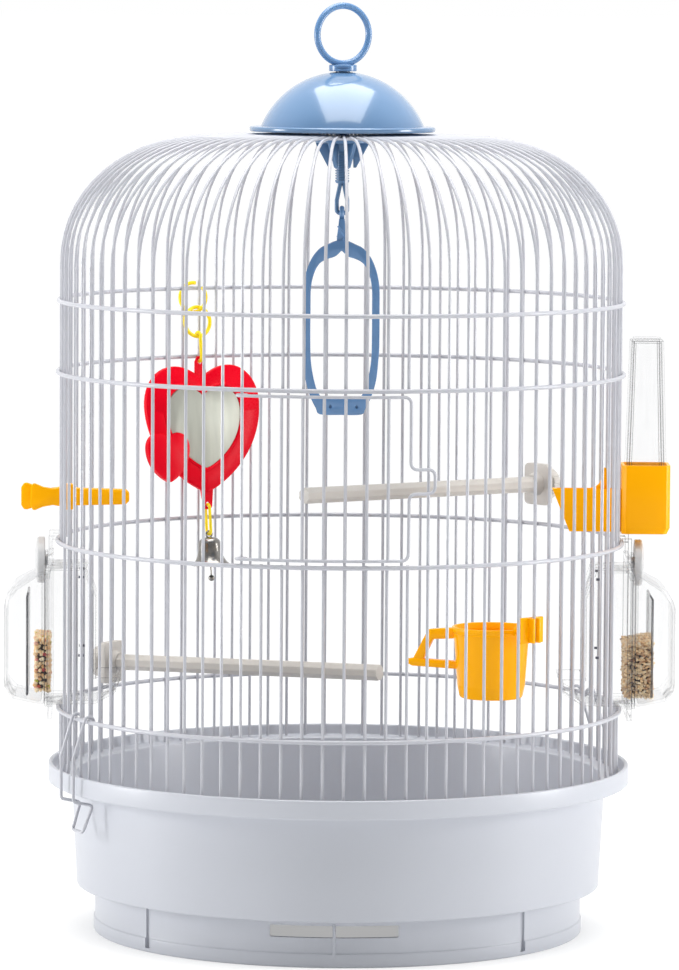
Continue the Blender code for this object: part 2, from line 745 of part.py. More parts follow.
def build_door():
    """Makes the door: one bent wire with its latch loop and two knuckles, and the bars between."""
    pitch_length = math.tau / WIRE_COUNT * DOOR_RADIUS
    corner_share = DOOR_CORNER / pitch_length
    edge = DOOR_EDGE_SHARE
    bar_end = edge - corner_share
    spread = [bar_end * i / DOOR_ARC_STEPS for i in range(1, DOOR_ARC_STEPS + 1)]
    side_shares_heights = [
        (edge - corner_share / 3, DOOR_TOP - DOOR_CORNER / 3),
        (edge, DOOR_TOP - DOOR_CORNER),
        (edge, LATCH_HIGH),
        (edge + corner_share, LATCH_HIGH - LATCH_STEP),
        (LATCH_REACH_SHARE - corner_share / 2, LATCH_HIGH - LATCH_STEP),
        (LATCH_REACH_SHARE, LATCH_HIGH - LATCH_STEP - DOOR_CORNER),
        (LATCH_REACH_SHARE, LATCH_LOW + LATCH_STEP + DOOR_CORNER),
        (LATCH_REACH_SHARE - corner_share / 2, LATCH_LOW + LATCH_STEP),
        (edge + corner_share, LATCH_LOW + LATCH_STEP),
        (edge - corner_share / 2, LATCH_LOW),
        (edge - corner_share / 2, DOOR_BOTTOM + DOOR_CORNER),
        (edge - corner_share, DOOR_BOTTOM + DOOR_CORNER / 3),
    ]
    path = knuckle(DOOR_TOP, 1)
    path += [on_wall(door_angle(share), DOOR_RADIUS, DOOR_TOP) for share in spread]
    path += [on_wall(door_angle(share), DOOR_RADIUS, height) for share, height in side_shares_heights]
    for share in reversed(spread):
        path.append(on_wall(door_angle(share - corner_share / 2), DOOR_RADIUS, DOOR_BOTTOM))
    path += knuckle(DOOR_BOTTOM, -1)
    frame = sweep(path, DOOR_WIRE_CORNER, HOOP_SIDES, (0.0, 0.0, 1.0), spin=math.pi / HOOP_SIDES)
    bars = bmesh.new()
    for bar in range(1, DOOR_BARS + 1):
        angle = door_angle(bar)
        ends = [on_wall(angle, DOOR_RADIUS, height) for height in (DOOR_BOTTOM, DOOR_TOP)]
        sweep(ends, DOOR_WIRE_CORNER, WIRE_SIDES, outward(angle), shape=bars)
    hinge = on_wall(door_angle(0.0), WIRE_RING_RADIUS, (DOOR_TOP + DOOR_BOTTOM) / 2)
    whole = moved(combine(frame, bars, "UNION"), Matrix.Translation(-hinge))
    place("door", whole, WHITE_COATING, hinge)


def build_clips():
    """Makes the two wire bails that hold the tray to the base hoop."""
    hook = HOOP_CORNER + GAP + CLIP_WIRE + WELD_BITE
    for name, share in zip(("base_clip_front", "base_clip_back"), CLIP_PLACE_SHARES):
        angle = wire_angle(share)
        half = CLIP_SPREAD_SHARE * math.tau / WIRE_COUNT * WELDED_HOOP_RADIUS
        tab = half - CLIP_TAB_NARROW
        leg = [(x, -half, z) for x, z in arc((0.0, 0.0), hook, CLIP_HOOK_TURN, 0.0, 5)]
        leg += [
            (CLIP_BULGE, -half, -CLIP_BULGE_TOP),
            (CLIP_BULGE, -half, -CLIP_BULGE_LOW),
            (-CLIP_TUCK, -half, -CLIP_TUCK_DROP),
            (CLIP_TAB_OUT, -tab, -CLIP_TAB_DROP),
        ]
        path = leg + [(x, -y, z) for x, y, z in reversed(leg)]
        bail = sweep(path, CLIP_WIRE, HOOP_SIDES, (0.0, 1.0, 0.0), spin=math.pi / HOOP_SIDES)
        middle = (WELDED_HOOP_RADIUS - WELD_BITE / 2) * outward(angle) + Vector((0.0, 0.0, HOOP_BASE))
        place(name, bail, WHITE_COATING, middle, heading(angle))


def build_cap():
    """Makes the cap, the washer and the hub that clamp the wire ends."""
    ball_centre = CAP_TOP - CAP_BALL_RADIUS
    base_angle = math.acos(CAP_BASE_RADIUS / CAP_BALL_RADIUS)
    bore = STEM_RADIUS + GAP
    inner_ball = CAP_BALL_RADIUS - CAP_WALL
    top_angle = math.acos(bore / CAP_BALL_RADIUS)
    inner_top = math.acos(bore / inner_ball)
    steps = 5
    profile = [(bore, ball_centre + CAP_BALL_RADIUS * math.sin(top_angle))]
    profile += arc((0.0, ball_centre), CAP_BALL_RADIUS, top_angle, base_angle, steps)[1:]
    profile += [
        (FLANGE_RADIUS - RIM_ROUND, FLANGE_BOTTOM + FLANGE_THICK),
        (FLANGE_RADIUS, FLANGE_BOTTOM + FLANGE_THICK / 2),
        (FLANGE_RADIUS - RIM_ROUND, FLANGE_BOTTOM),
        (inner_ball * math.cos(base_angle) - CAP_WALL, FLANGE_BOTTOM),
    ]
    profile += arc((0.0, ball_centre), inner_ball, base_angle + CAP_WALL / inner_ball, inner_top, steps)
    place("cap", turned(profile, CAP_SEGMENTS), BLUE_PLASTIC)

    washer_top = CROWN_HEIGHT + CROWN_RISE - WIRE_CORNER * math.sin(math.pi / 6) - GAP
    washer_bottom = washer_top - WASHER_THICK
    washer = [
        (bore, washer_top),
        (WASHER_RADIUS, washer_top),
        (WASHER_RADIUS, washer_bottom),
        (bore, washer_bottom),
    ]
    place("clamp_washer", turned(washer), WHITE_PLASTIC)

    hub_top = washer_bottom - GAP
    tube = turned(
        [
            (bore, hub_top),
            (HUB_RADIUS, hub_top),
            (HUB_RADIUS, hub_top - HUB_PLATE),
            (HUB_TUBE_RADIUS, hub_top - HUB_PLATE),
            (HUB_TUBE_RADIUS, hub_top - HUB_HEIGHT),
            (bore, hub_top - HUB_HEIGHT),
        ],
        BORE_SEGMENTS,
    )
    fin = [
        ((bore + HUB_TUBE_RADIUS) / 2, hub_top - HUB_PLATE / 2),
        (HUB_RADIUS - HUB_PLATE, hub_top - HUB_PLATE / 2),
        (HUB_RADIUS - HUB_PLATE, hub_top - HUB_PLATE),
        (HUB_TUBE_RADIUS + HUB_FIN_THICK / 2, hub_top - HUB_HEIGHT + HUB_PLATE),
        ((bore + HUB_TUBE_RADIUS) / 2, hub_top - HUB_HEIGHT + HUB_PLATE),
    ]
    for number in range(HUB_FINS):
        blade = prism(fin, -HUB_FIN_THICK / 2, HUB_FIN_THICK / 2)
        tube = join(tube, moved(blade, Matrix.Rotation(math.tau * number / HUB_FINS, 4, "Z")))
    place("hub_nut", tube, BLUE_PLASTIC)


def build_handle():
    """Makes the carrying ring with its collar, and the stem with its eye that passes through the cap."""
    collar_bottom = CAP_TOP + GAP
    collar_top = collar_bottom + COLLAR_HEIGHT
    bore = STEM_RADIUS + GAP
    collar = turned(
        [
            (0.0, collar_top + COLLAR_RECESS / 2),
            (COLLAR_RADIUS - COLLAR_RECESS, collar_top),
            (COLLAR_RADIUS, collar_top - COLLAR_RECESS),
            (COLLAR_RADIUS, collar_bottom),
            (bore, collar_bottom),
            (bore, STEM_TOP + GAP),
            (0.0, STEM_TOP + GAP),
        ],
        BORE_SEGMENTS,
    )
    centre = collar_top + RING_OUTER - RING_BAND / 3
    middle = RING_OUTER - RING_BAND / 2
    ring_path = [(x, 0.0, z) for x, z in arc((0.0, centre), middle, 0.0, math.tau, ROUND_SEGMENTS)[:-1]]
    ring = sweep(ring_path, RING_BAND / 2, 6, (0.0, 1.0, 0.0), closed=True)
    place("handle_ring", join(ring, collar), BLUE_PLASTIC, turn=RING_TURN)

    shank = [(0.0, STEM_TOP), (STEM_RADIUS, STEM_TOP), (STEM_RADIUS, STEM_BOTTOM), (0.0, STEM_BOTTOM)]
    shank = turned(shank, BORE_SEGMENTS)
    eye_path = [
        (-EYE_WIRE, 0.0, STEM_BOTTOM + EYE_WIRE),
        (-EYE_WIRE, 0.0, STEM_BOTTOM - EYE_WIRE),
        (-EYE_HALF_WIDTH, 0.0, STEM_BOTTOM - EYE_HEIGHT / 3),
        (-EYE_HALF_WIDTH, 0.0, EYE_BAR + EYE_WIRE),
        (-EYE_HALF_WIDTH / 2, 0.0, EYE_BAR),
    ]
    eye_path += [(-x, y, z) for x, y, z in reversed(eye_path)]
    eye = sweep(eye_path, EYE_WIRE, 6, (0.0, 1.0, 0.0), closed=True)
    place("hanger_stem", join(shank, eye), BLUE_PLASTIC)


def mirrored(half):
    """Completes an outline that starts and ends on the middle line by its mirror image."""
    return half + [(-x, z) for x, z in reversed(half) if abs(x) > TINY]


def swing_outline(inset):
    """Returns the swing's outline, drawn in by an inset, with its waved top."""
    half = [
        (0.0, SWING_APEX - SWING_STRAP - inset / 2),
        (SWING_PEAK_OUT / 2, SWING_PEAK + SWING_STRAP / 4 - inset),
        (SWING_PEAK_OUT, SWING_PEAK - inset),
        (SWING_HALF_WIDTH - inset - SWING_STRAP / 3, SWING_SHOULDER + SWING_STRAP / 2 - inset / 2),
        (SWING_HALF_WIDTH - inset, SWING_SHOULDER - SWING_STRAP / 2),
        (SWING_HALF_WIDTH - inset, SWING_WAIST),
        (SWING_BAR_HALF - inset / 2, SWING_BAR_TOP + inset / 4),
        (SWING_BAR_HALF - inset / 2, SWING_BAR_BOTTOM + inset),
        (0.0, SWING_BAR_BOTTOM + inset),
    ]
    return mirrored(half)


def build_swing():
    """Makes the swing, a waved strap with a round bar and the hook that hangs in the stem's eye."""
    hook_radius = EYE_WIRE + GAP + SWING_HOOK_WIRE
    strap = band(swing_outline(0.0), swing_outline(SWING_STRAP), -SWING_DEPTH / 2, SWING_DEPTH / 2)
    neck_foot = SWING_APEX - 2.0 * SWING_STRAP
    neck = rod(SWING_NECK_RADIUS, (0.0, 0.0, neck_foot), (0.0, 0.0, EYE_BAR - hook_radius))
    bend = arc((0.0, EYE_BAR), hook_radius, -math.pi / 2, HOOK_TURN, 9)
    hook_path = [(0.0, y, z) for y, z in bend]
    hook = sweep(hook_path, SWING_HOOK_WIRE, 6, (1.0, 0.0, 0.0))
    whole = join(strap, neck, hook)
    origin = Vector((0.0, 0.0, EYE_BAR))
    place("swing", moved(whole, Matrix.Translation(-origin)), BLUE_PLASTIC, origin)


def build_perch(tag, share, height, tilt):
    """Makes one perch: its bar and clamp plate inside the wires, and the round nut outside."""
    angle = wire_angle(share)
    plate_face = -WIRE_CORNER - GAP
    inner = plate_face - PERCH_PLATE_THICK
    tip = -WIRE_RING_RADIUS - PERCH_PAST_CENTRE
    bar_start = inner + PERCH_PLATE_THICK / 2
    drop = math.tan(tilt)
    bar = rod(
        PERCH_RADIUS,
        (bar_start, 0.0, -bar_start * drop),
        (tip + PERCH_TIP_BEVEL, 0.0, -(tip + PERCH_TIP_BEVEL) * drop),
        SMALL_SEGMENTS,
    )
    half_width, half_height = PERCH_PLATE_WIDTH / 2, PERCH_PLATE_HEIGHT / 2
    chamfer = PERCH_RADIUS
    outline = [
        (-half_width + chamfer, -half_height),
        (half_width - chamfer, -half_height),
        (half_width, -half_height + chamfer),
        (half_width, half_height - chamfer),
        (half_width - chamfer, half_height),
        (-half_width + chamfer, half_height),
        (-half_width, half_height - chamfer),
        (-half_width, -half_height + chamfer),
    ]
    plate = moved(prism(outline, plate_face, inner), Matrix.Rotation(-math.pi / 2, 4, "Z"))
    screw = rod(PERCH_SCREW_RADIUS, (inner + GAP, 0.0, 0.0), (inner + PERCH_SCREW_LENGTH, 0.0, 0.0))
    origin = on_wall(angle, WIRE_RING_RADIUS, height)
    whole = join(plate, bar, screw)
    place("perch_" + tag, whole, GREY_PLASTIC, origin, heading(angle))

    nut_low = WIRE_CORNER + GAP
    bore = PERCH_SCREW_RADIUS + GAP
    nut = turned(
        [
            (bore, nut_low),
            (PERCH_NUT_RADIUS, nut_low),
            (PERCH_NUT_RADIUS, nut_low + PERCH_NUT_THICK - RIM_ROUND),
            (PERCH_NUT_RADIUS - RIM_ROUND, nut_low + PERCH_NUT_THICK),
            (bore, nut_low + PERCH_NUT_THICK),
        ],
        BORE_SEGMENTS,
    )
    moved(nut, Matrix.Rotation(math.pi / 2, 4, "Y"))
    place("perch_nut_" + tag, nut, GREY_PLASTIC, origin, heading(angle))


def heart_outline(width, height, points=HEART_POINTS):
    """Returns a heart's (x, z) outline, point down, centred on its own box."""
    raw = []
    for i in range(points):
        t = math.tau * i / points
        across = math.copysign(abs(math.sin(t)) ** HEART_SQUARENESS, math.sin(t))
        up = sum(share * math.cos((n + 1) * t) for n, share in enumerate(HEART_WAVE_SHARES))
        raw.append((across, up))
    top = max(up for _, up in raw)
    low = min(up for _, up in raw)
    return [(width / 2 * x, height * ((up - low) / (top - low) - 0.5)) for x, up in raw]


def shifted(outline, x, z):
    """Moves an outline of (x, z) points."""
    return [(px + x, pz + z) for px, pz in outline]


def layers(outlines):
    """Makes a solid through outlines of as many points, given as (depth, outline) along Y."""
    shape = bmesh.new()
    loops = [[shape.verts.new((x, depth, z)) for x, z in outline] for depth, outline in outlines]
    shape.faces.new(loops[0])
    shape.faces.new(reversed(loops[-1]))
    for near, far in zip(loops, loops[1:]):
        for i, point in enumerate(near):
            after = (i + 1) % len(near)
            shape.faces.new((point, far[i], far[after], near[after]))
    return closed_skin(shape)


def heart_solid(width, height, near, far, points=HEART_POINTS):
    """Makes a heart with softened edges between two depths."""
    inner = heart_outline(width - 2.0 * HEART_EDGE, height - 2.0 * HEART_EDGE, points)
    outer = heart_outline(width, height, points)
    return layers([(near, inner), (near + HEART_EDGE, outer), (far - HEART_EDGE, outer), (far, inner)])


def ring_path(middle, first=0.0, last=math.tau, steps=SMALL_SEGMENTS):
    """Returns the points of a ring, or of a part of it, in the XZ plane."""
    points = arc((0.0, 0.0), middle, first, last, steps)
    if last - first > math.tau - TINY:
        points = points[:-1]
    return [(x, 0.0, z) for x, z in points]


def upright(shape, turn=math.pi / 2):
    """Turns a shape about Z, from the XZ plane towards the YZ plane."""
    return moved(shape, Matrix.Rotation(turn, 4, "Z"))


def build_toy():
    """Makes the toy on the top hoop: two rings, a hook, the heart with its mirror, and the bell."""
    hoop = on_wall(wire_angle(TOY_SHARE), WELDED_HOOP_RADIUS, HOOP_TOP)
    carrier = empty("toy_place", hoop, heading(wire_angle(TOY_SHARE)))
    carrier.rotation_euler.y = TOY_LEAN
    middle = TOY_RING_OUTER - TOY_RING_WIRE
    aside = Vector((-math.cos(TOY_RING_TURN), -math.sin(TOY_RING_TURN), 0.0)) * math.sin(TOY_RING_SWAY)
    sway = aside - Vector((0.0, 0.0, math.cos(TOY_RING_SWAY)))

    centre = (middle - TOY_RING_WIRE - GAP - HOOP_CORNER) * sway
    opening_end = TOY_RING_START + math.tau - TOY_RING_OPENING
    path = ring_path(middle, TOY_RING_START, opening_end)
    ring = sweep(path, TOY_RING_WIRE, 5, (0.0, 1.0, 0.0))
    place("toy_ring", upright(ring, TOY_RING_TURN), LEMON_PLASTIC, centre, parent=carrier)

    centre = centre + (middle - 2.0 * TOY_RING_WIRE - GAP) * sway - Vector((0.0, 0.0, middle))
    link = sweep(ring_path(middle), TOY_RING_WIRE, 5, (0.0, 1.0, 0.0), closed=True)
    place("toy_link", upright(link), LEMON_PLASTIC, centre, parent=carrier)

    hang = centre - Vector((0.0, 0.0, middle))
    bend = TOY_RING_WIRE + GAP + TOY_HOOK_WIRE
    hook_path = ring_path(bend, TOY_HOOK_OPENING, math.pi, 5)
    low_bend = ring_path(bend, math.pi, math.tau - TOY_HOOK_OPENING, 5)
    hook_path += [(x, y, z - TOY_HOOK_LENGTH) for x, y, z in low_bend]
    hook = sweep(hook_path, TOY_HOOK_WIRE, 6, (0.0, 1.0, 0.0))
    place("toy_hook", hook, LEMON_PLASTIC, hang, parent=carrier)

    web = hang - Vector((0.0, 0.0, TOY_HOOK_LENGTH))
    build_heart(carrier, web, bend)


def build_heart(carrier, web, bend):
    """Makes the heart, hung by its tab at web, its mirror and the bell below."""
    heart_z = HEART_TAB_WEB / 2 - HEART_TAB_RISE - HEART_HEIGHT / 2
    half = HEART_DEPTH / 2
    shape = heart_solid(HEART_WIDTH, HEART_HEIGHT, -half, half)
    moved(shape, Matrix.Translation((0.0, 0.0, heart_z)))

    hole = bend - HEART_TAB_WEB / 2
    tab_half = hole + HEART_TAB_MARGIN
    tab = prism(
        [
            (-tab_half, -HEART_TAB_RISE - HEART_HEIGHT / 4),
            (tab_half, -HEART_TAB_RISE - HEART_HEIGHT / 4),
            (tab_half, -bend),
            (tab_half / 2, HEART_TAB_WEB / 2),
            (-tab_half / 2, HEART_TAB_WEB / 2),
            (-tab_half, -bend),
        ],
        -HEART_TAB_WEB / 2,
        HEART_TAB_WEB / 2,
    )
    tail_foot = heart_z - HEART_HEIGHT / 2 - HEART_TAIL_LENGTH
    reach = math.hypot(HEART_TAB_WEB, HEART_TAB_WEB) / 2 + GAP + BELL_LINK_WIRE
    link_hole = reach - HEART_TAB_WEB / 2
    tail_half = link_hole + HEART_TAB_MARGIN
    tail = prism(
        [
            (-tail_half, tail_foot + HEART_TAB_MARGIN),
            (-tail_half / 2, tail_foot),
            (tail_half / 2, tail_foot),
            (tail_half, tail_foot + HEART_TAB_MARGIN),
            (tail_half, tail_foot + 2.0 * HEART_TAIL_LENGTH),
            (-tail_half, tail_foot + 2.0 * HEART_TAIL_LENGTH),
        ],
        -HEART_TAB_WEB / 2,
        HEART_TAB_WEB / 2,
    )
    shape = join(shape, tab, tail)

    face = heart_outline(MIRROR_WIDTH, MIRROR_HEIGHT, SMALL_HEART_POINTS)
    recess = heart_outline(MIRROR_WIDTH + 2.0 * GAP, MIRROR_HEIGHT + 2.0 * GAP, SMALL_HEART_POINTS)
    mirror_z = heart_z + MIRROR_LIFT
    pocket = prism(shifted(recess, 0.0, mirror_z), half - MIRROR_THICK - GAP, half + OVERRUN)
    tab_bore = rod(hole, (0.0, -half, -bend), (0.0, half, -bend), 10)
    tail_bore_z = tail_foot + HEART_TAB_WEB + link_hole
    tail_bore = rod(link_hole, (0.0, -half, tail_bore_z), (0.0, half, tail_bore_z), 10)
    shape = cut(shape, tab_bore, tail_bore, pocket)

    small_z = heart_z - SMALL_HEART_DROP
    place_small = Matrix.Translation((SMALL_HEART_ASIDE, 0.0, small_z))
    small_face = half + SMALL_HEART_PROUD
    small = heart_solid(SMALL_HEART_WIDTH, SMALL_HEART_HEIGHT, 0.0, small_face, SMALL_HEART_POINTS)
    shape = join(shape, moved(small, place_small))
    place("toy_heart", upright(shape), RED_PLASTIC, web, parent=carrier)

    mirror = prism(shifted(face, 0.0, mirror_z), half - MIRROR_THICK, half)
    room = 2.0 * GAP
    margin = heart_outline(SMALL_HEART_WIDTH + room, SMALL_HEART_HEIGHT + room, SMALL_HEART_POINTS)
    mirror = cut(mirror, prism(shifted(margin, SMALL_HEART_ASIDE, small_z), 0.0, half + OVERRUN))
    place("toy_mirror", upright(mirror), MIRROR_FOIL, web, parent=carrier)
    build_bell(carrier, web + Vector((0.0, 0.0, tail_foot + HEART_TAB_WEB / 2)), reach)


def build_bell(carrier, tail_web, reach):
    """Makes the bell, its link in the heart's tail and its clapper."""
    path = ring_path(reach, 0.0, math.pi, 6)
    path += [(x, y, z - BELL_LINK_LENGTH) for x, y, z in ring_path(reach, math.pi, math.tau - TINY, 6)]
    link = sweep(path, BELL_LINK_WIRE, 5, (0.0, 1.0, 0.0), closed=True)
    place("bell_link", link, LEMON_PLASTIC, tail_web, parent=carrier)

    loop = BELL_LINK_WIRE + GAP + BELL_LOOP_WIRE
    crown = -loop + BELL_LOOP_WIRE / 2
    heights = [crown, crown - BELL_SHOULDER_DROP / 3, crown - BELL_SHOULDER_DROP]
    heights += [crown - BELL_HEIGHT / 2, crown - BELL_FLARE_SHARE * BELL_HEIGHT, crown - BELL_HEIGHT]
    radii = [0.0, BELL_CROWN_SHARE * BELL_SHOULDER_RADIUS, BELL_SHOULDER_RADIUS]
    radii += [BELL_WAIST_RADIUS, BELL_FLARE_SHARE * BELL_RIM_RADIUS, BELL_RIM_RADIUS]
    outside = list(zip(radii, heights))
    inside = [(max(radius - BELL_WALL, 0.0), height - BELL_WALL) for radius, height in outside[:-1]]
    inside.append((BELL_RIM_RADIUS - BELL_WALL, crown - BELL_HEIGHT))
    cup = turned(outside + list(reversed(inside)), BORE_SEGMENTS)
    eye = upright(sweep(ring_path(loop, steps=10), BELL_LOOP_WIRE, 5, (0.0, 1.0, 0.0), closed=True))
    pin_z = crown - BELL_PIN_DROP
    pin_half = BELL_SHOULDER_RADIUS - BELL_WALL / 2
    pin = rod(BELL_PIN_WIRE, (-pin_half, 0.0, pin_z), (pin_half, 0.0, pin_z), 8)
    foot = tail_web - Vector((0.0, 0.0, BELL_LINK_LENGTH + reach))
    place("bell", join(cup, eye, pin), NICKEL, foot, parent=carrier)

    clapper_eye = BELL_PIN_WIRE + GAP + CLAPPER_WIRE
    ring = upright(sweep(ring_path(clapper_eye, steps=10), CLAPPER_WIRE, 5, (0.0, 1.0, 0.0), closed=True))
    shank = rod(CLAPPER_WIRE, (0.0, 0.0, -clapper_eye), (0.0, 0.0, -CLAPPER_LENGTH), 8)
    ball = bmesh.new()
    bmesh.ops.create_uvsphere(ball, u_segments=10, v_segments=6, radius=CLAPPER_BALL_RADIUS)
    moved(ball, Matrix.Translation((0.0, 0.0, -CLAPPER_LENGTH)))
    whole = join(ring, shank, ball)
    place("bell_clapper", whole, NICKEL, foot + Vector((0.0, 0.0, pin_z)), parent=carrier)


def build_peg():
    """Makes the peg that grips the left wall: its body below the split, and its jaw above."""
    angle = wire_angle(PEG_SHARE)
    origin = on_wall(angle, WIRE_RING_RADIUS, PEG_HEIGHT)
    half = WIRE_RING_RADIUS * math.sin(math.pi / WIRE_COUNT) - WIRE_CORNER - GAP
    split = GAP / 2
    tail_gap = split + PEG_TAIL * math.tan(PEG_SPREAD)
    for name, side, parting in (("peg_body", -1.0, split), ("peg_jaw", 1.0, split)):
        tail = tail_gap if side > 0.0 else parting
        outline = [
            (PEG_TAIL, side * tail),
            (PEG_TAIL, side * (PEG_TAIL_HALF - PEG_END_ROUND)),
            (PEG_TAIL - PEG_END_ROUND, side * PEG_TAIL_HALF),
            ((PEG_TAIL + PEG_WAIST_OUT) / 2, side * (PEG_TAIL_HALF + PEG_WAIST_HALF) / 2),
            (PEG_WAIST_OUT, side * PEG_WAIST_HALF),
            (0.0, side * PEG_WAIST_HALF),
            (-PEG_FLARE_IN + PEG_END_ROUND, side * PEG_FLARE_HALF),
            (-PEG_FLARE_IN, side * PEG_FLARE_HALF),
            (-PEG_FLARE_IN - PEG_END_ROUND, side * PEG_PRONG_HALF),
            (-PEG_PRONG + PEG_END_ROUND, side * PEG_TIP_HALF),
            (-PEG_PRONG, side * (PEG_TIP_HALF - PEG_END_ROUND)),
            (-PEG_PRONG, side * parting),
            (0.0, side * parting),
        ]
        shape = prism(outline, -half, half)
        if side < 0.0:
            shape = join(shape, rod(PEG_PIN_RADIUS, (0.0, -half, 0.0), (0.0, half, 0.0), 12))
        else:
            socket = PEG_PIN_RADIUS + GAP
            shape = cut(shape, rod(socket, (0.0, -half - OVERRUN, 0.0), (0.0, half + OVERRUN, 0.0), 12))
        place(name, shape, YELLOW_PLASTIC, origin, heading(angle))


def bin_outline(inset):
    """Returns the (x, z) outline of a feeder's outer bin, drawn in by an inset."""
    inner, outer = FEEDER_SHOULDER + inset, FEEDER_REACH - inset
    top, low = FEEDER_TOP - inset, FEEDER_BOTTOM + inset
    corner, slope = FEEDER_CORNER, FEEDER_SLOPE
    points = [(inner, top)]
    for back, down in FEEDER_TOP_CORNER_SHARES:
        points.append((outer - back * corner, top - slope - down * corner))
    for back, up in FEEDER_LOW_CORNER_SHARES:
        points.append((outer - back * corner, low + slope + up * corner))
    points.append((outer - FEEDER_HEEL_SHARE * corner, low + FEEDER_HEEL_SLOPE_SHARE * slope))
    points.append((inner, low))
    return points


def build_feeder(side, share):
    """Makes one feeder: frame on the hoop, hopper through the wall, knob and seeds."""
    carrier = empty("feeder_place_" + side, Vector(), heading(wire_angle(share)))
    wall, slack, neck = FEEDER_WALL, FEEDER_SLACK, FEEDER_NECK_HALF
    face, back = FEEDER_FACE, FEEDER_FACE + FEEDER_FRAME_THICK

    frame_half = FEEDER_FRAME_HALF
    frame = box((face, -frame_half, FEEDER_FRAME_BOTTOM), (back, frame_half, FEEDER_FRAME_TOP))
    mouth = box(
        (face - OVERRUN, -neck - slack, FEEDER_BOTTOM - slack),
        (back + OVERRUN, neck + slack, FEEDER_HOOD_TOP + slack),
    )
    frame = cut(frame, mouth)
    lip_low = HOOP_LOWER + HOOP_CORNER + GAP
    lip_top = lip_low + FEEDER_HOOK_THICK
    for across in (-FEEDER_HOOK_SPREAD, FEEDER_HOOK_SPREAD):
        hook = [
            (face + GAP, FEEDER_FRAME_TOP - slack),
            (back - GAP, FEEDER_FRAME_TOP - slack),
            (back - GAP, lip_top),
            (face - FEEDER_HOOK_LIP, lip_top),
            (face - FEEDER_HOOK_LIP, lip_low),
            (face + GAP, lip_low),
        ]
        frame = join(frame, prism(hook, across - FEEDER_HOOK_WIDTH / 2, across + FEEDER_HOOK_WIDTH / 2))
    place("feeder_frame_" + side, frame, CLEAR_PLASTIC, parent=carrier)

    hood_x = FEEDER_SHOULDER - FEEDER_HOOD_REACH
    lip_x = FEEDER_SHOULDER - FEEDER_TROUGH_REACH
    hood_drop = FEEDER_HOOD_DROP
    outer = [
        (FEEDER_SHOULDER + wall / 2, FEEDER_BOTTOM + wall / 2),
        (hood_x, FEEDER_BOTTOM + wall / 2 + slack),
        (lip_x + FEEDER_TROUGH_SLANT, FEEDER_TROUGH_FLOOR),
        (lip_x, FEEDER_TROUGH_TOP),
        (hood_x, FEEDER_TROUGH_TOP),
        (hood_x, FEEDER_HOOD_SHOULDER),
        (hood_x + hood_drop / 3, FEEDER_HOOD_TOP),
        (FEEDER_SHOULDER + wall / 2, FEEDER_HOOD_TOP),
    ]
    shell = join(
        prism(bin_outline(0.0), -FEEDER_HALF_WIDTH, FEEDER_HALF_WIDTH),
        prism(outer, -neck, neck),
    )
    lug = box(
        (FEEDER_SHOULDER, -FEEDER_LUG_HALF, FEEDER_TOP - FEEDER_CORNER),
        (FEEDER_SHOULDER + wall, FEEDER_LUG_HALF, FEEDER_LUG_TOP),
    )
    inner_end = FEEDER_SHOULDER + 2.0 * wall
    low = FEEDER_BOTTOM + wall / 2 + slack + wall
    cavity = [
        (inner_end, low),
        (hood_x, low),
        (lip_x + FEEDER_TROUGH_SLANT + wall / 2, FEEDER_TROUGH_FLOOR + wall),
        (lip_x + wall, FEEDER_TROUGH_TOP + OVERRUN),
        (hood_x - GAP, FEEDER_TROUGH_TOP + OVERRUN),
        (hood_x - GAP, FEEDER_TROUGH_TOP - wall / 2),
        (hood_x + wall, FEEDER_TROUGH_TOP - wall / 2),
        (hood_x + wall, FEEDER_HOOD_SHOULDER),
        (hood_x + wall + hood_drop / 3, FEEDER_HOOD_TOP - wall),
        (FEEDER_SHOULDER - wall, FEEDER_HOOD_TOP - wall),
        (FEEDER_SHOULDER - wall, FEEDER_TOP - 2.0 * wall),
        (inner_end, FEEDER_TOP - 2.0 * wall),
    ]
    filling = box(
        (FEEDER_SHOULDER + wall, -KNOB_RADIUS - KNOB_ROUND, FEEDER_TOP - FEEDER_CORNER - wall),
        (FEEDER_SHOULDER + FEEDER_PARTITION - wall, KNOB_RADIUS + KNOB_ROUND, FEEDER_LUG_TOP),
    )
    shell = join(shell, lug)
    bore_start, bore_end = FEEDER_SHOULDER - OVERRUN, FEEDER_SHOULDER + wall + OVERRUN
    shell = cut(
        shell,
        prism(bin_outline(wall), -FEEDER_HALF_WIDTH + wall, FEEDER_HALF_WIDTH - wall),
        prism(cavity, -neck + wall, neck - wall),
        filling,
        rod(KNOB_STUB_RADIUS + GAP, (bore_start, 0.0, KNOB_HEIGHT), (bore_end, 0.0, KNOB_HEIGHT)),
    )
    partition_x = FEEDER_SHOULDER + FEEDER_PARTITION
    partition = box(
        (partition_x - wall / 2, -FEEDER_HALF_WIDTH + wall / 2, FEEDER_BOTTOM + FEEDER_SLOPE),
        (partition_x + wall / 2, FEEDER_HALF_WIDTH - wall / 2, FEEDER_PARTITION_TOP),
    )
    place("feeder_hopper_" + side, join(shell, partition), CLEAR_PLASTIC, parent=carrier)

    knob_start = FEEDER_SHOULDER + wall + GAP
    knob_end = knob_start + KNOB_THICK
    knob = turned(
        [
            (0.0, knob_end),
            (KNOB_RADIUS - KNOB_ROUND, knob_end),
            (KNOB_RADIUS, knob_end - KNOB_ROUND),
            (KNOB_RADIUS, knob_start),
            (KNOB_STUB_RADIUS, knob_start),
            (KNOB_STUB_RADIUS, FEEDER_SHOULDER),
            (0.0, FEEDER_SHOULDER),
        ]
    )
    moved(knob, Matrix.Rotation(math.pi / 2, 4, "Y"))
    place("feeder_knob_" + side, knob, KNOB_PLASTIC, Vector((0.0, 0.0, KNOB_HEIGHT)), parent=carrier)

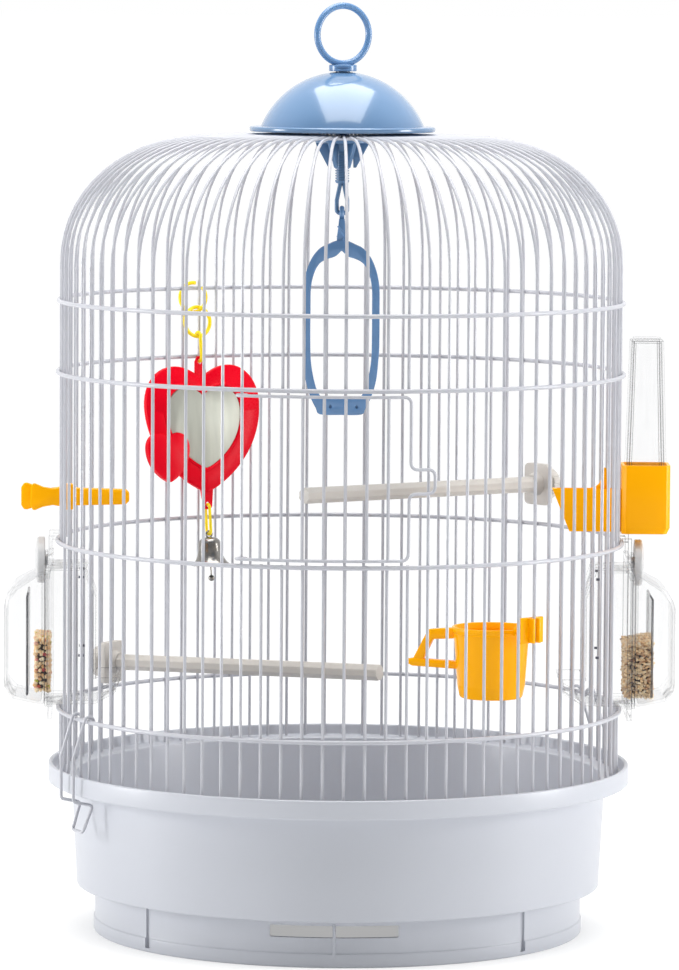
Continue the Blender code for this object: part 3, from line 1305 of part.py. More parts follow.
    seed_low, seed_back = low + GAP, FEEDER_SHOULDER - GAP
    seeds = prism(
        [
            (seed_back, seed_low),
            (hood_x, seed_low),
            (hood_x + wall + GAP, FEEDER_TROUGH_TOP - wall - GAP),
            (hood_x + wall + GAP, SEED_TOP),
            ((hood_x + seed_back) / 2, SEED_TOP + SEED_HEAP),
            (seed_back, SEED_TOP),
        ],
        -neck + wall + GAP,
        neck - wall - GAP,
    )
    place("feeder_seeds_" + side, seeds, SEED_MIX, parent=carrier)


def rounded_square(x_low, x_high, half, corner):
    """Returns the (x, y) outline of a rectangle with cut corners."""
    return [
        (x_low, -half + corner),
        (x_low + corner, -half),
        (x_high - corner, -half),
        (x_high, -half + corner),
        (x_high, half - corner),
        (x_high - corner, half),
        (x_low + corner, half),
        (x_low, half - corner),
    ]


def stacked(rings):
    """Makes a solid through outlines of as many points, given as (height, outline) along Z."""
    shape = bmesh.new()
    loops = [[shape.verts.new((x, y, height)) for x, y in outline] for height, outline in rings]
    shape.faces.new(reversed(loops[0]))
    shape.faces.new(loops[-1])
    for low, high in zip(loops, loops[1:]):
        for i, point in enumerate(low):
            after = (i + 1) % len(low)
            shape.faces.new((point, low[after], high[after], high[i]))
    return closed_skin(shape)


def build_drinker():
    """Makes the drinker: base with its beak through the wall, and the tank that stands in it."""
    carrier = empty("drinker_place", Vector(), heading(wire_angle(DRINKER_SHARE)))
    inner = WIRE_RING_RADIUS + WIRE_CORNER + GAP
    outer = inner + DRINKER_DEPTH
    body = rounded_square(inner, outer, DRINKER_HALF, DRINKER_CORNER)
    sole_half = DRINKER_HALF - DRINKER_LEDGE
    sole = rounded_square(inner, outer - DRINKER_LEDGE, sole_half, DRINKER_CORNER)
    base = stacked(
        [
            (DRINKER_BOTTOM, sole),
            (DRINKER_FLOOR, body),
            (DRINKER_RIM, body),
        ]
    )
    beak_low = DRINKER_BOTTOM + BEAK_WALL / 2
    tip = inner - BEAK_REACH
    beak = prism(
        [
            (inner + DRINKER_WALL / 2, beak_low),
            (tip + BEAK_SLANT, beak_low),
            (tip, BEAK_TOP),
            (inner + DRINKER_WALL / 2, BEAK_TOP),
        ],
        -BEAK_HALF,
        BEAK_HALF,
    )
    catch_x = inner - CATCH_PLACE
    catch = prism(
        [
            (catch_x - CATCH_LENGTH, BEAK_TOP - BEAK_WALL),
            (catch_x, BEAK_TOP - BEAK_WALL),
            (catch_x, CATCH_TOP - BEAK_WALL),
            (catch_x - BEAK_WALL, CATCH_TOP),
            (catch_x - CATCH_LENGTH + BEAK_WALL, CATCH_TOP),
            (catch_x - CATCH_LENGTH, CATCH_TOP - CATCH_LENGTH),
        ],
        BEAK_HALF - 2.0 * BEAK_WALL,
        BEAK_HALF - GAP,
    )
    foot_low, foot_high = inner + DRINKER_WALL + GAP, outer - DRINKER_WALL - GAP
    foot_half = DRINKER_HALF - DRINKER_WALL - GAP
    pocket_corner = DRINKER_CORNER - DRINKER_WALL + 2.0 * GAP
    pocket = rounded_square(foot_low - GAP, foot_high + GAP, foot_half + GAP, pocket_corner)
    well = rounded_square(
        foot_low + DRINKER_LEDGE,
        foot_high - DRINKER_LEDGE,
        foot_half - DRINKER_LEDGE,
        pocket_corner,
    )
    channel = prism(
        [
            (foot_low + DRINKER_LEDGE + BEAK_WALL, DRINKER_FLOOR + GAP),
            (tip + BEAK_SLANT + BEAK_WALL, DRINKER_FLOOR + GAP),
            (tip + BEAK_WALL, BEAK_TOP + OVERRUN),
            (inner - GAP, BEAK_TOP + OVERRUN),
            (inner - GAP, BEAK_TOP - BEAK_WALL),
            (foot_low + DRINKER_LEDGE + BEAK_WALL, BEAK_TOP - BEAK_WALL),
        ],
        -BEAK_HALF + BEAK_WALL,
        BEAK_HALF - BEAK_WALL,
    )
    base = cut(
        join(base, beak),
        stacked([(TANK_SEAT - GAP, pocket), (DRINKER_RIM + OVERRUN, pocket)]),
        stacked([(DRINKER_FLOOR, well), (DRINKER_RIM + OVERRUN, well)]),
        channel,
    )
    place("drinker_base", join(base, catch), YELLOW_PLASTIC, parent=carrier)

    def tank_outline(inset, taper):
        low, high = foot_low + inset + taper, foot_high - inset - taper
        return rounded_square(low, high, foot_half - inset - taper, TANK_CORNER)

    tank = stacked(
        [
            (TANK_SEAT, tank_outline(0.0, 0.0)),
            (TANK_TOP - TANK_CORNER, tank_outline(0.0, TANK_TAPER)),
            (TANK_TOP, tank_outline(TANK_CORNER, TANK_TAPER)),
        ]
    )
    hollow = stacked(
        [
            (TANK_SEAT - OVERRUN, tank_outline(TANK_WALL, 0.0)),
            (TANK_TOP - TANK_CORNER - TANK_WALL, tank_outline(TANK_WALL, TANK_TAPER)),
            (TANK_TOP - TANK_WALL, tank_outline(TANK_WALL + TANK_CORNER, TANK_TAPER)),
        ]
    )
    place("drinker_tank", cut(tank, hollow), CLEAR_PLASTIC, parent=carrier)


def build_cup():
    """Makes the treat cup, its small perch with a slanted arm, and the clip that grips a wire."""
    angle = wire_angle(CUP_SHARE)
    origin = on_wall(angle, CUP_CENTRE_RADIUS, CUP_RIM_HEIGHT)
    floor = -CUP_DEPTH
    cup = turned(
        [
            (0.0, floor),
            (CUP_LOW_RADIUS - CUP_ROUND, floor),
            (CUP_LOW_RADIUS, floor + CUP_ROUND),
            (CUP_TOP_RADIUS, -CUP_RIM_BAND),
            (CUP_RIM_RADIUS, -CUP_RIM_BAND),
            (CUP_RIM_RADIUS, 0.0),
            (CUP_TOP_RADIUS - CUP_WALL, 0.0),
            (CUP_LOW_RADIUS - CUP_WALL, floor + CUP_ROUND),
            (CUP_LOW_RADIUS - CUP_ROUND, floor + CUP_WALL),
            (0.0, floor + CUP_WALL),
        ],
        ROUND_SEGMENTS,
    )
    arm_top, arm_low = -CUP_ARM_DROP, -CUP_ARM_DROP - CUP_ARM_THICK
    bar_low, bar_top = -CUP_BAR_DROP - CUP_BAR_THICK / 2, -CUP_BAR_DROP + CUP_BAR_THICK / 2
    bar_start = CUP_LOW_RADIUS + CUP_WALL / 2
    handle = prism(
        [
            (CUP_TOP_RADIUS, arm_top),
            (CUP_ARM_REACH, arm_top),
            (CUP_ARM_FOOT + CUP_ARM_THICK / 2, bar_top),
            (CUP_BAR_REACH, bar_top),
            (CUP_BAR_REACH, bar_low),
            (bar_start, bar_low),
            (bar_start, bar_top),
            (CUP_ARM_FOOT - CUP_ARM_THICK / 2, bar_top),
            (CUP_ARM_REACH - CUP_ARM_THICK / 2, arm_low),
            (CUP_TOP_RADIUS, arm_low),
        ],
        -CUP_BAR_HALF,
        CUP_BAR_HALF,
    )
    cup = join(cup, moved(handle, Matrix.Rotation(CUP_HANDLE_TURN, 4, "Z")))

    wall_face = WIRE_RING_RADIUS - WIRE_CORNER - GAP - CUP_CENTRE_RADIUS
    plate_x = wall_face - CUP_HANGER_THICK
    plate_half = CUP_HANGER_HALF
    plate = box((plate_x, -plate_half, -CUP_HANGER_DROP), (wall_face, plate_half, CUP_HANGER_RISE))
    arm = prism(
        [
            (CUP_TOP_RADIUS, -CUP_RIM_BAND / 2),
            (CUP_RIM_RADIUS, -CUP_RIM_BAND / 2 - GAP),
            (plate_x + CUP_HANGER_THICK / 2, CUP_HANGER_RISE - 2.0 * CUP_HANGER_THICK),
            (plate_x + CUP_HANGER_THICK / 2, CUP_HANGER_RISE - GAP),
            (plate_x - CUP_HANGER_THICK, CUP_HANGER_RISE - GAP),
            (CUP_TOP_RADIUS, -GAP),
        ],
        -CUP_HANGER_HALF / 2,
        CUP_HANGER_HALF / 2,
    )
    cup = join(cup, plate, arm)
    for side in (-1.0, 1.0):
        near = side * (WIRE_CORNER + GAP)
        far = side * (WIRE_CORNER + GAP + CUP_FINGER_THICK)
        finger = box(
            (wall_face - CUP_HANGER_THICK / 2, min(near, far), -CUP_HANGER_DROP + GAP),
            (wall_face + CUP_FINGER_REACH, max(near, far), CUP_HANGER_RISE - GAP),
        )
        cup = join(cup, finger)
    place("treat_cup", cup, YELLOW_PLASTIC, origin, heading(angle))


def main():
    """Builds the whole cage."""
    clear_scene()
    build_tray()
    build_cage()
    build_door()
    build_clips()
    build_cap()
    build_handle()
    build_swing()
    build_perch("upper", UPPER_PERCH_SHARE, UPPER_PERCH_HEIGHT, UPPER_PERCH_TILT)
    build_perch("lower", LOWER_PERCH_SHARE, LOWER_PERCH_HEIGHT, LOWER_PERCH_TILT)
    build_toy()
    build_peg()
    for side, share in zip(("left", "right"), FEEDER_SHARES):
        build_feeder(side, share)
    build_drinker()
    build_cup()


main()
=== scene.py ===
"""Looks of the round bird cage: finished pieces, materials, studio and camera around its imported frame.

Metres, +Z up, origin at the centre of the foot's underside. The door faces -Y.
"""

from __future__ import annotations

import json
import logging
import math
import random
from dataclasses import dataclass
from enum import Enum
from typing import Any, Iterable, Sequence

import bmesh
import bpy
from mathutils import Matrix, Vector

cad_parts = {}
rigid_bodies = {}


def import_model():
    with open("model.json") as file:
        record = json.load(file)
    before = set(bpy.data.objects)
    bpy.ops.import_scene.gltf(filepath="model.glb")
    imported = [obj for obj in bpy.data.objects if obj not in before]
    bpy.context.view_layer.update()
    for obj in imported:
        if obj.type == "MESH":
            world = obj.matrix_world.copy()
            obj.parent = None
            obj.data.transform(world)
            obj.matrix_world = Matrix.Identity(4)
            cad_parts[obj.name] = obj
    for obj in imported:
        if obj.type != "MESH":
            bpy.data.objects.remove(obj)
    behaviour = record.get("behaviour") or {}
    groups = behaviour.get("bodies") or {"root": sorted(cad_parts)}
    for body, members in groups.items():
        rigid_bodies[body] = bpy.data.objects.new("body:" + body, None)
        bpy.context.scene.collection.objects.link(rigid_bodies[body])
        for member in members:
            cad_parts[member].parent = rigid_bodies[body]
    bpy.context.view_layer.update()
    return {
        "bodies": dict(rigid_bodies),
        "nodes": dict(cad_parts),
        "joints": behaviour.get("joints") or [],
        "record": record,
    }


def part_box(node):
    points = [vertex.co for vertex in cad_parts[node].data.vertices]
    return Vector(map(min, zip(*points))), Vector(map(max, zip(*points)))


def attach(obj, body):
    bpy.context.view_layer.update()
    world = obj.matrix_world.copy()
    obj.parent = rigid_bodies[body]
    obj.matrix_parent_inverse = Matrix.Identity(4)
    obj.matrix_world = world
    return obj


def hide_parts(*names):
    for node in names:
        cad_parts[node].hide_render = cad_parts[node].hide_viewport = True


LOG = logging.getLogger("bird_cage")
Outline = list[tuple[float, float]]
Colour = tuple[float, float, float]
Shape = bmesh.types.BMesh
TAU = math.tau

# Sizes that several sub-assemblies share
PITCHES = 87
PITCH = TAU / PITCHES
WIRE_PHASE = 0.0177
WALL_RADIUS = 0.1567
WALL_WIRE = 0.0009
WELD_RADIUS = 0.158255
FREE_HOOP_RADIUS = 0.15875
FEEDER_SHARE = 21.5
GAP = 0.0003
EYE_BAR = 0.4037
HOOP_HEIGHTS = {"top": 0.3545, "upper": 0.3145, "lower": 0.2198, "base": 0.1257}
WHITE = (1.0, 1.0, 1.0)


class Join(Enum):
    """Ways in which closed shapes are joined."""

    UNITE = "UNION"
    CUT = "DIFFERENCE"
    OVERLAP = "INTERSECT"


class Side(Enum):
    """Sides of the cage, seen from the door."""

    LEFT = "left"
    RIGHT = "right"


class Level(Enum):
    """The two perches."""

    UPPER = "upper"
    LOWER = "lower"


class Slot(Enum):
    """Material slots of the record."""

    TRAY = "tray_plastic"
    WIRE = "coated_wire"
    BLUE = "blue_plastic"
    PERCH = "perch_plastic"
    LEMON = "lemon_plastic"
    RED = "red_plastic"
    MIRROR = "mirror_foil"
    NICKEL = "nickel"
    YELLOW = "yellow_plastic"
    CLEAR = "clear_plastic"
    KNOB = "knob_plastic"
    SEED = "seed_mix"


# Shader graph


class Link:
    """A shader socket that takes part in Python sums."""

    def __init__(self, graph: Graph, socket: bpy.types.NodeSocket) -> None:
        """Keeps the graph and the socket."""
        self.graph = graph
        self.socket = socket

    def _sum(self, operation: str, first: Any, second: Any) -> Link:
        """Adds a Math node for two operands."""
        return self.graph.node("ShaderNodeMath", {"operation": operation}, {0: first, 1: second})

    def __add__(self, other: Any) -> Link:
        """Adds."""
        return self._sum("ADD", self, other)

    def __radd__(self, other: Any) -> Link:
        """Adds to a number."""
        return self._sum("ADD", other, self)

    def __sub__(self, other: Any) -> Link:
        """Subtracts."""
        return self._sum("SUBTRACT", self, other)

    def __rsub__(self, other: Any) -> Link:
        """Subtracts from a number."""
        return self._sum("SUBTRACT", other, self)

    def __mul__(self, other: Any) -> Link:
        """Multiplies."""
        return self._sum("MULTIPLY", self, other)

    def __rmul__(self, other: Any) -> Link:
        """Multiplies a number."""
        return self._sum("MULTIPLY", other, self)

    def __pow__(self, other: Any) -> Link:
        """Raises to a power."""
        return self._sum("POWER", self, other)


class Graph:
    """The node tree of one material or of the world."""

    def __init__(self, owner: bpy.types.ID) -> None:
        """Empties the owner's node tree.

        Args:
            owner: The material or world that owns the tree.
        """
        owner.use_nodes = True
        self.tree = owner.node_tree
        self.tree.nodes.clear()

    def node(
        self,
        kind: str,
        settings: dict[str, Any] | None = None,
        sockets: dict[Any, Any] | None = None,
        out: int | str = 0,
    ) -> Link:
        """Adds one node.

        Args:
            kind: The node's type.
            settings: Properties set before the sockets; "stops" are the stops of a ramp.
            sockets: Values or links by socket name or number.
            out: The output that is returned.

        Returns:
            The chosen output.
        """
        made = self.tree.nodes.new(kind)
        for key, value in (settings or {}).items():
            if key == "stops":
                ramp = made.color_ramp
                while len(ramp.elements) < len(value):
                    ramp.elements.new(1.0)
                for element, (place, colour) in zip(ramp.elements, value):
                    element.position = place
                    element.color = (*colour, 1.0)
            else:
                setattr(made, key, value)
        for key, value in (sockets or {}).items():
            socket = made.inputs[key]
            if isinstance(value, Link):
                self.tree.links.new(value.socket, socket)
            elif isinstance(value, tuple) and len(value) == 3 and socket.type == "RGBA":
                socket.default_value = (*value, 1.0)
            else:
                socket.default_value = value
        if not made.outputs:
            return Link(self, made.inputs[0])
        return Link(self, made.outputs[out])

    def mix(self, share: Any, first: Any, second: Any) -> Link:
        """Mixes two colours.

        Args:
            share: The part of the second colour.
            first: A colour or a link.
            second: A colour or a link.

        Returns:
            The mixed colour.
        """
        return self.node("ShaderNodeMix", {"data_type": "RGBA"}, {0: share, 6: first, 7: second}, 2)

    def place(self) -> Link:
        """Returns Object coordinates."""
        return self.node("ShaderNodeTexCoord", out="Object")

    def noise(self, scale: float, detail: float = 2.0, where: Link | None = None) -> Link:
        """Returns noise from 0 to 1.

        Args:
            scale: Features per metre.
            detail: Octaves.
            where: Coordinates; Object coordinates by default.

        Returns:
            The noise's value.
        """
        sockets = {"Vector": where or self.place(), "Scale": scale, "Detail": detail, "Roughness": 0.55}
        return self.node("ShaderNodeTexNoise", None, sockets, "Fac")

    def bump(self, height: Link, distance: float, strength: float = 1.0, under: Link | None = None) -> Link:
        """Returns a bumped normal.

        Args:
            height: The height, from 0 to 1.
            distance: Its depth in metres.
            strength: Its share.
            under: A normal to start from.

        Returns:
            The normal.
        """
        sockets = {"Strength": strength, "Distance": distance, "Height": height}
        if under:
            sockets["Normal"] = under
        return self.node("ShaderNodeBump", None, sockets)

    def surface(self, shader: Link) -> None:
        """Sets the shader of the material's output."""
        self.node("ShaderNodeOutputMaterial", None, {"Surface": shader})


@dataclass(frozen=True)
class Finish:
    """What every finish has: its name and its record slot."""

    name: str
    slot: Slot

    def shader(self, graph: Graph) -> Link:
        """Returns the finish's shader.

        Args:
            graph: The tree it is made in.

        Returns:
            A shader output.
        """
        raise NotImplementedError

    def material(self) -> bpy.types.Material:
        """Finds the material, or makes it at its first use.

        Returns:
            The material.
        """
        known = bpy.data.materials.get(self.name)
        if known:
            return known
        made = bpy.data.materials.new(self.name)
        graph = Graph(made)
        graph.surface(self.shader(graph))
        return made


@dataclass(frozen=True)
class Moulded(Finish):
    """Moulded plastic: slow drift of tone, flow clouds in its gloss, a faint skin and, where set, a faint
    painted glow of its own colour that brightens it.
    """

    colour: Colour = (0.8, 0.8, 0.8)
    roughness: float = 0.25
    drift: float = 0.05
    skin: float = 0.00002
    skin_scale: float = 1400.0
    coat: float = 0.0
    shine: float = 0.5
    # Strength of a painted glow: the plastic gives off light of its own colour.
    painted_glow: float = 0.0

    def shader(self, graph: Graph) -> Link:
        """Returns the plastic's shader.

        Args:
            graph: The tree that it is made in.

        Returns:
            The shader's output.
        """
        cloud = graph.noise(22.0, 3.0)
        grain = graph.noise(self.skin_scale, 2.0)
        flow = graph.noise(7.0, 2.0)
        dark = tuple(c * (1.0 - self.drift) for c in self.colour)
        light = tuple(min(c * (1.0 + self.drift), 1.0) for c in self.colour)
        tone = graph.mix(cloud * 0.7 + grain * 0.3, dark, light)
        rough = self.roughness + (flow - 0.5) * 0.10 + (grain - 0.5) * 0.05
        normal = graph.bump(cloud, self.skin * 6.0, 0.25, graph.bump(grain, self.skin, 0.5))
        sockets = {
            "Base Color": tone,
            "Roughness": rough,
            "Normal": normal,
            "Coat Weight": self.coat,
            "Specular IOR Level": self.shine,
            "Emission Color": self.colour,
            "Emission Strength": self.painted_glow,
        }
        return graph.node("ShaderNodeBsdfPrincipled", None, sockets)


@dataclass(frozen=True)
class CoatedWire(Finish):
    """Steel wire with a pale powder coat: orange peel, slight pooling and dull patches."""

    colour: Colour = (0.6, 0.62, 0.68)

    def shader(self, graph: Graph) -> Link:
        """Returns the coat's shader.

        Args:
            graph: The tree that it is made in.

        Returns:
            The shader's output.
        """
        peel = graph.noise(1900.0, 2.0)
        pool = graph.noise(120.0, 2.0)
        dark = tuple(c * 0.90 for c in self.colour)
        light = tuple(c * 1.06 for c in self.colour)
        sockets = {
            "Base Color": graph.mix(pool * 0.7 + peel * 0.3, dark, light),
            "Roughness": 0.30 + pool * 0.16,
            "Normal": graph.bump(peel, 0.00003, 0.6),
            "Coat Weight": 0.15 + peel * 0.2,
        }
        return graph.node("ShaderNodeBsdfPrincipled", None, sockets)


@dataclass(frozen=True)
class ClearPlastic(Finish):
    """Thin clear plastic: nearly unseen face on, with faint flow lines; the dark line at its edges and its
    darkening where seen edge-on are painted shade that stands in for refraction.
    """

    wall: Colour = (0.50, 0.52, 0.56)
    # line: colour of the painted shade at the edges and where the plastic is seen edge-on.
    line: Colour = (0.05, 0.052, 0.06)
    faint: float = 0.014
    rim: float = 0.20
    edge: float = 0.74
    dark: float = 0.0
    power: float = 5.0

    def shader(self, graph: Graph) -> Link:
        """Returns the clear plastic's shader.

        Args:
            graph: The tree that it is made in.

        Returns:
            The shader's output.
        """
        stretch = graph.node("ShaderNodeMapping", None, {"Vector": graph.place(), "Scale": (1.0, 1.0, 0.12)})
        lines = graph.noise(420.0, 2.0, stretch)
        haze = graph.noise(60.0, 3.0)
        normal = graph.bump(lines, 0.00010, 0.5)
        facing = graph.node("ShaderNodeLayerWeight", None, {"Blend": 0.5, "Normal": normal}, "Facing")
        edge = graph.node("ShaderNodeAttribute", {"attribute_name": "edge"}, None, "Fac")
        streak = (lines**3.0) * 0.05
        # Painted shade: darker and less clear at marked bevels and where the surface is seen edge-on.
        sockets = {
            "Base Color": graph.mix(edge + (facing**self.power) * self.dark, self.wall, self.line),
            "Roughness": 0.05 + haze * 0.08,
            "Normal": normal,
            "Alpha": self.faint + haze * 0.015 + streak + (facing**self.power) * self.rim + edge * self.edge,
            "Specular IOR Level": 0.35,
        }
        return graph.node("ShaderNodeBsdfPrincipled", None, sockets)


@dataclass(frozen=True)
class Foil(Finish):
    """Mirror foil in plastic, only slightly metallic: its grey-green tone with soft upright streaks is a
    painted reflection, under a cloudy film.
    """

    colour: Colour = (0.47, 0.48, 0.41)

    def shader(self, graph: Graph) -> Link:
        """Returns the foil's shader.

        Args:
            graph: The tree that it is made in.

        Returns:
            The shader's output.
        """
        stretch = graph.node("ShaderNodeMapping", None, {"Vector": graph.place(), "Scale": (1.0, 1.0, 0.10)})
        streak = graph.noise(150.0, 2.0, stretch)
        cloud = graph.noise(70.0, 3.0)
        dark = tuple(c * 0.62 for c in self.colour)
        light = tuple(c * 1.22 for c in self.colour)
        # Painted reflection: the mirror's grey-green tone and upright streaks are set in its base colour.
        sockets = {
            "Base Color": graph.mix(streak * 0.8 + cloud * 0.2, dark, light),
            "Roughness": 0.34 + cloud * 0.16,
            "Metallic": 0.25 + cloud * 0.10,
            "Normal": graph.bump(streak, 0.0002, 0.15),
        }
        return graph.node("ShaderNodeBsdfPrincipled", None, sockets)


@dataclass(frozen=True)
class Nickel(Finish):
    """Dark nickel plate: darker in random patches, partly tarnished metal and partly painted dark
    reflections, with drawn marks round it.
    """

    colour: Colour = (0.42, 0.40, 0.37)

    def shader(self, graph: Graph) -> Link:
        """Returns the plate's shader.

        Args:
            graph: The tree that it is made in.

        Returns:
            The shader's output.
        """
        tarnish_and_painted_reflection = graph.noise(420.0, 3.0)
        squash = graph.node("ShaderNodeMapping", None, {"Vector": graph.place(), "Scale": (0.1, 0.1, 1.0)})
        marks = graph.noise(5200.0, 1.0, squash)
        sockets = {
            # Random dark patches: partly tarnished metal, partly painted dark reflections of the
            # surroundings.
            "Base Color": graph.mix(tarnish_and_painted_reflection, tuple(c * 0.45 for c in self.colour), self.colour),
            "Roughness": 0.14 + tarnish_and_painted_reflection * 0.16,
            "Metallic": 0.94 + marks * 0.06,
            "Normal": graph.bump(marks, 0.00001, 0.6),
        }
        return graph.node("ShaderNodeBsdfPrincipled", None, sockets)


@dataclass(frozen=True)
class PerchPlastic(Finish):
    """Matt perch plastic with a fine drawn grain and handling marks."""

    colour: Colour = (0.56, 0.53, 0.49)

    def shader(self, graph: Graph) -> Link:
        """Returns the matt plastic's shader.

        Args:
            graph: The tree that it is made in.

        Returns:
            The shader's output.
        """
        grain = graph.noise(900.0, 3.0)
        marks = graph.noise(90.0, 4.0)
        dark = tuple(c * 0.90 for c in self.colour)
        light = tuple(c * 1.07 for c in self.colour)
        sockets = {
            "Base Color": graph.mix(marks, dark, light),
            "Roughness": 0.46 + marks * 0.16,
            "Normal": graph.bump(grain, 0.00005, 0.6),
        }
        return graph.node("ShaderNodeBsdfPrincipled", None, sockets)


@dataclass(frozen=True)
class SeedCoat(Finish):
    """Husks of seed, each with its own tint from the tint attribute; tint 0, left on the heap's core, is
    painted shade.
    """

    stops: tuple[tuple[float, Colour], ...] = ()

    def shader(self, graph: Graph) -> Link:
        """Returns the husk's shader.

        Args:
            graph: The tree that it is made in.

        Returns:
            The shader's output.
        """
        tint = graph.node("ShaderNodeAttribute", {"attribute_name": "tint"}, None, "Fac")
        husk = graph.node("ShaderNodeValToRGB", {"stops": self.stops}, {0: tint}, "Color")
        speck = graph.noise(2600.0, 2.0)
        sockets = {
            "Base Color": graph.mix(speck * 0.28, husk, (0.07, 0.035, 0.012)),
            "Roughness": 0.42 + speck * 0.25,
            "Normal": graph.bump(speck, 0.00008, 0.8),
        }
        return graph.node("ShaderNodeBsdfPrincipled", None, sockets)


TRAY_WHITE = Moulded(
    "tray_white",
    Slot.TRAY,
    (0.515, 0.53, 0.575),
    0.36,
    drift=0.018,
    skin=0.00001,
    skin_scale=900.0,
    coat=0.10,
)
WASHER_WHITE = Moulded("washer_white", Slot.TRAY, (0.55, 0.57, 0.63), 0.35, drift=0.03)
WIRE_COAT = CoatedWire("wire_coat", Slot.WIRE, (0.50, 0.505, 0.545))
CAP_BLUE = Moulded(
    "cap_blue",
    Slot.BLUE,
    (0.120, 0.235, 0.41),
    0.20,
    drift=0.03,
    skin=0.000006,
    skin_scale=1100.0,
    coat=0.60,
    shine=0.60,
)
SWING_BLUE = Moulded(
    "swing_blue", Slot.BLUE, (0.115, 0.245, 0.46), 0.22, skin=0.000015, skin_scale=1100.0, coat=0.3
)
# A darker copy of the blue plastic for the hub and stem: painted shade, as they sit under the cap.
SHADED_HUB_BLUE = Moulded(
    "shaded_hub_blue", Slot.BLUE, (0.075, 0.170, 0.32), 0.30, skin=0.00001, skin_scale=1100.0, coat=0.1
)
PERCH_GREY = PerchPlastic("perch_grey", Slot.PERCH)
# The lemon, red and yellow finishes below carry a faint painted glow that brightens their colour.
CHAIN_LEMON = Moulded(
    "chain_lemon", Slot.LEMON, (0.95, 0.72, 0.012), 0.26, drift=0.04, shine=0.35, painted_glow=0.05
)
HEART_RED = Moulded(
    "heart_red",
    Slot.RED,
    (0.78, 0.0005, 0.014),
    0.26,
    drift=0.03,
    skin=0.000008,
    skin_scale=900.0,
    shine=0.08,
    painted_glow=0.04,
)
MIRROR_FACE = Foil("mirror_face", Slot.MIRROR)
BELL_NICKEL = Nickel("bell_nickel", Slot.NICKEL)
CLIP_YELLOW = Moulded(
    "clip_yellow", Slot.YELLOW, (0.97, 0.42, 0.0005), 0.26, drift=0.02, shine=0.10, painted_glow=0.07
)
CUP_YELLOW = Moulded(
    "cup_yellow",
    Slot.YELLOW,
    (0.97, 0.42, 0.0005),
    0.14,
    drift=0.03,
    skin=0.000006,
    skin_scale=900.0,
    coat=0.06,
    shine=0.14,
    painted_glow=0.09,
)
FEEDER_CLEAR = ClearPlastic("feeder_clear", Slot.CLEAR, rim=0.90, edge=0.92, dark=1.0, power=11.0)
TANK_CLEAR = ClearPlastic("tank_clear", Slot.CLEAR, faint=0.008, rim=0.12, edge=0.50)
KNOB_WHITE = Moulded("knob_white", Slot.KNOB, (0.60, 0.60, 0.60), 0.34, drift=0.03, skin_scale=1000.0)
# Dark grey of painted shadow in the slots of the feeder frame's catch clips.
CATCH_SHADOW_GREY = Moulded("catch_shadow_grey", Slot.CLEAR, (0.075, 0.08, 0.11), 0.35, drift=0.1)
ROUND_SEED = SeedCoat(
    "round_seed",
    Slot.SEED,
    (
        # Tint 0, the heap's core: painted shade between the husks.
        (0.0, (0.030, 0.014, 0.006)),
        (0.12, (1.0, 0.66, 0.32)),
        (0.36, (1.0, 0.82, 0.52)),
        (0.58, (0.84, 0.46, 0.18)),
        (0.82, (1.0, 0.88, 0.62)),
        (0.93, (0.62, 0.02, 0.04)),
        (1.0, (0.48, 0.50, 0.03)),
    ),
)
LONG_SEED = SeedCoat(
    "long_seed",
    Slot.SEED,
    (
        # Tint 0, the heap's core: painted shade between the husks.
        (0.0, (0.030, 0.014, 0.006)),
        (0.12, (0.74, 0.46, 0.22)),
        (0.45, (1.0, 0.80, 0.50)),
        (0.72, (0.42, 0.22, 0.10)),
        (1.0, (1.0, 0.88, 0.64)),
    ),
)


# Shaping


def wire_angle(share: float) -> float:
    """Returns the angle about Z, from the front, of a place counted in wire pitches."""
    return WIRE_PHASE + share * PITCH


def on_wall(angle: float, radius: float, height: float) -> Vector:
    """Returns the point at an angle from the front, a radius and a height."""
    return Vector((radius * math.sin(angle), -radius * math.cos(angle), height))


def outward(angle: float) -> Vector:
    """Returns the direction that points out of the wall at an angle."""
    return Vector((math.sin(angle), -math.cos(angle), 0.0))


def wall_frame(angle: float, origin: Sequence[float] = (0.0, 0.0, 0.0)) -> Matrix:
    """Returns the frame whose +X points out of the wall.

    Args:
        angle: The place's angle from the front.
        origin: The frame's origin.

    Returns:
        The frame's matrix.
    """
    return Matrix.Translation(origin) @ Matrix.Rotation(angle - math.pi / 2, 4, "Z")


def arc(centre: tuple[float, float], radius: float, first: float, last: float, steps: int) -> Outline:
    """Returns points of an arc, from angle first to angle last."""
    angles = [first + (last - first) * i / steps for i in range(steps + 1)]
    return [(centre[0] + radius * math.cos(a), centre[1] + radius * math.sin(a)) for a in angles]


def eased(
    points: Sequence[Sequence[float]], radius: float, closed: bool = False, steps: int = 4
) -> list[tuple]:
    """Rounds the corners of a polyline in two or three dimensions.

    Args:
        points: The polyline.
        radius: The corners' radius, less where the runs are short.
        closed: Whether the last point joins the first.
        steps: Pieces per corner.

    Returns:
        The rounded polyline.
    """
    given = [Vector(point) for point in points]
    count = len(given)
    result = []
    for i, here in enumerate(given):
        if not closed and i in (0, count - 1):
            result.append(tuple(here))
            continue
        back, ahead = given[i - 1] - here, given[(i + 1) % count] - here
        turn = back.angle(ahead, math.pi)
        if turn > math.radians(177.0):
            result.append(tuple(here))
            continue
        reach = min(radius / math.tan(turn / 2), 0.48 * back.length, 0.48 * ahead.length)
        start, end = here + back.normalized() * reach, here + ahead.normalized() * reach
        for step in range(steps + 1):
            t = step / steps
            result.append(tuple(start * (1 - t) ** 2 + here * 2 * t * (1 - t) + end * t**2))
    return result


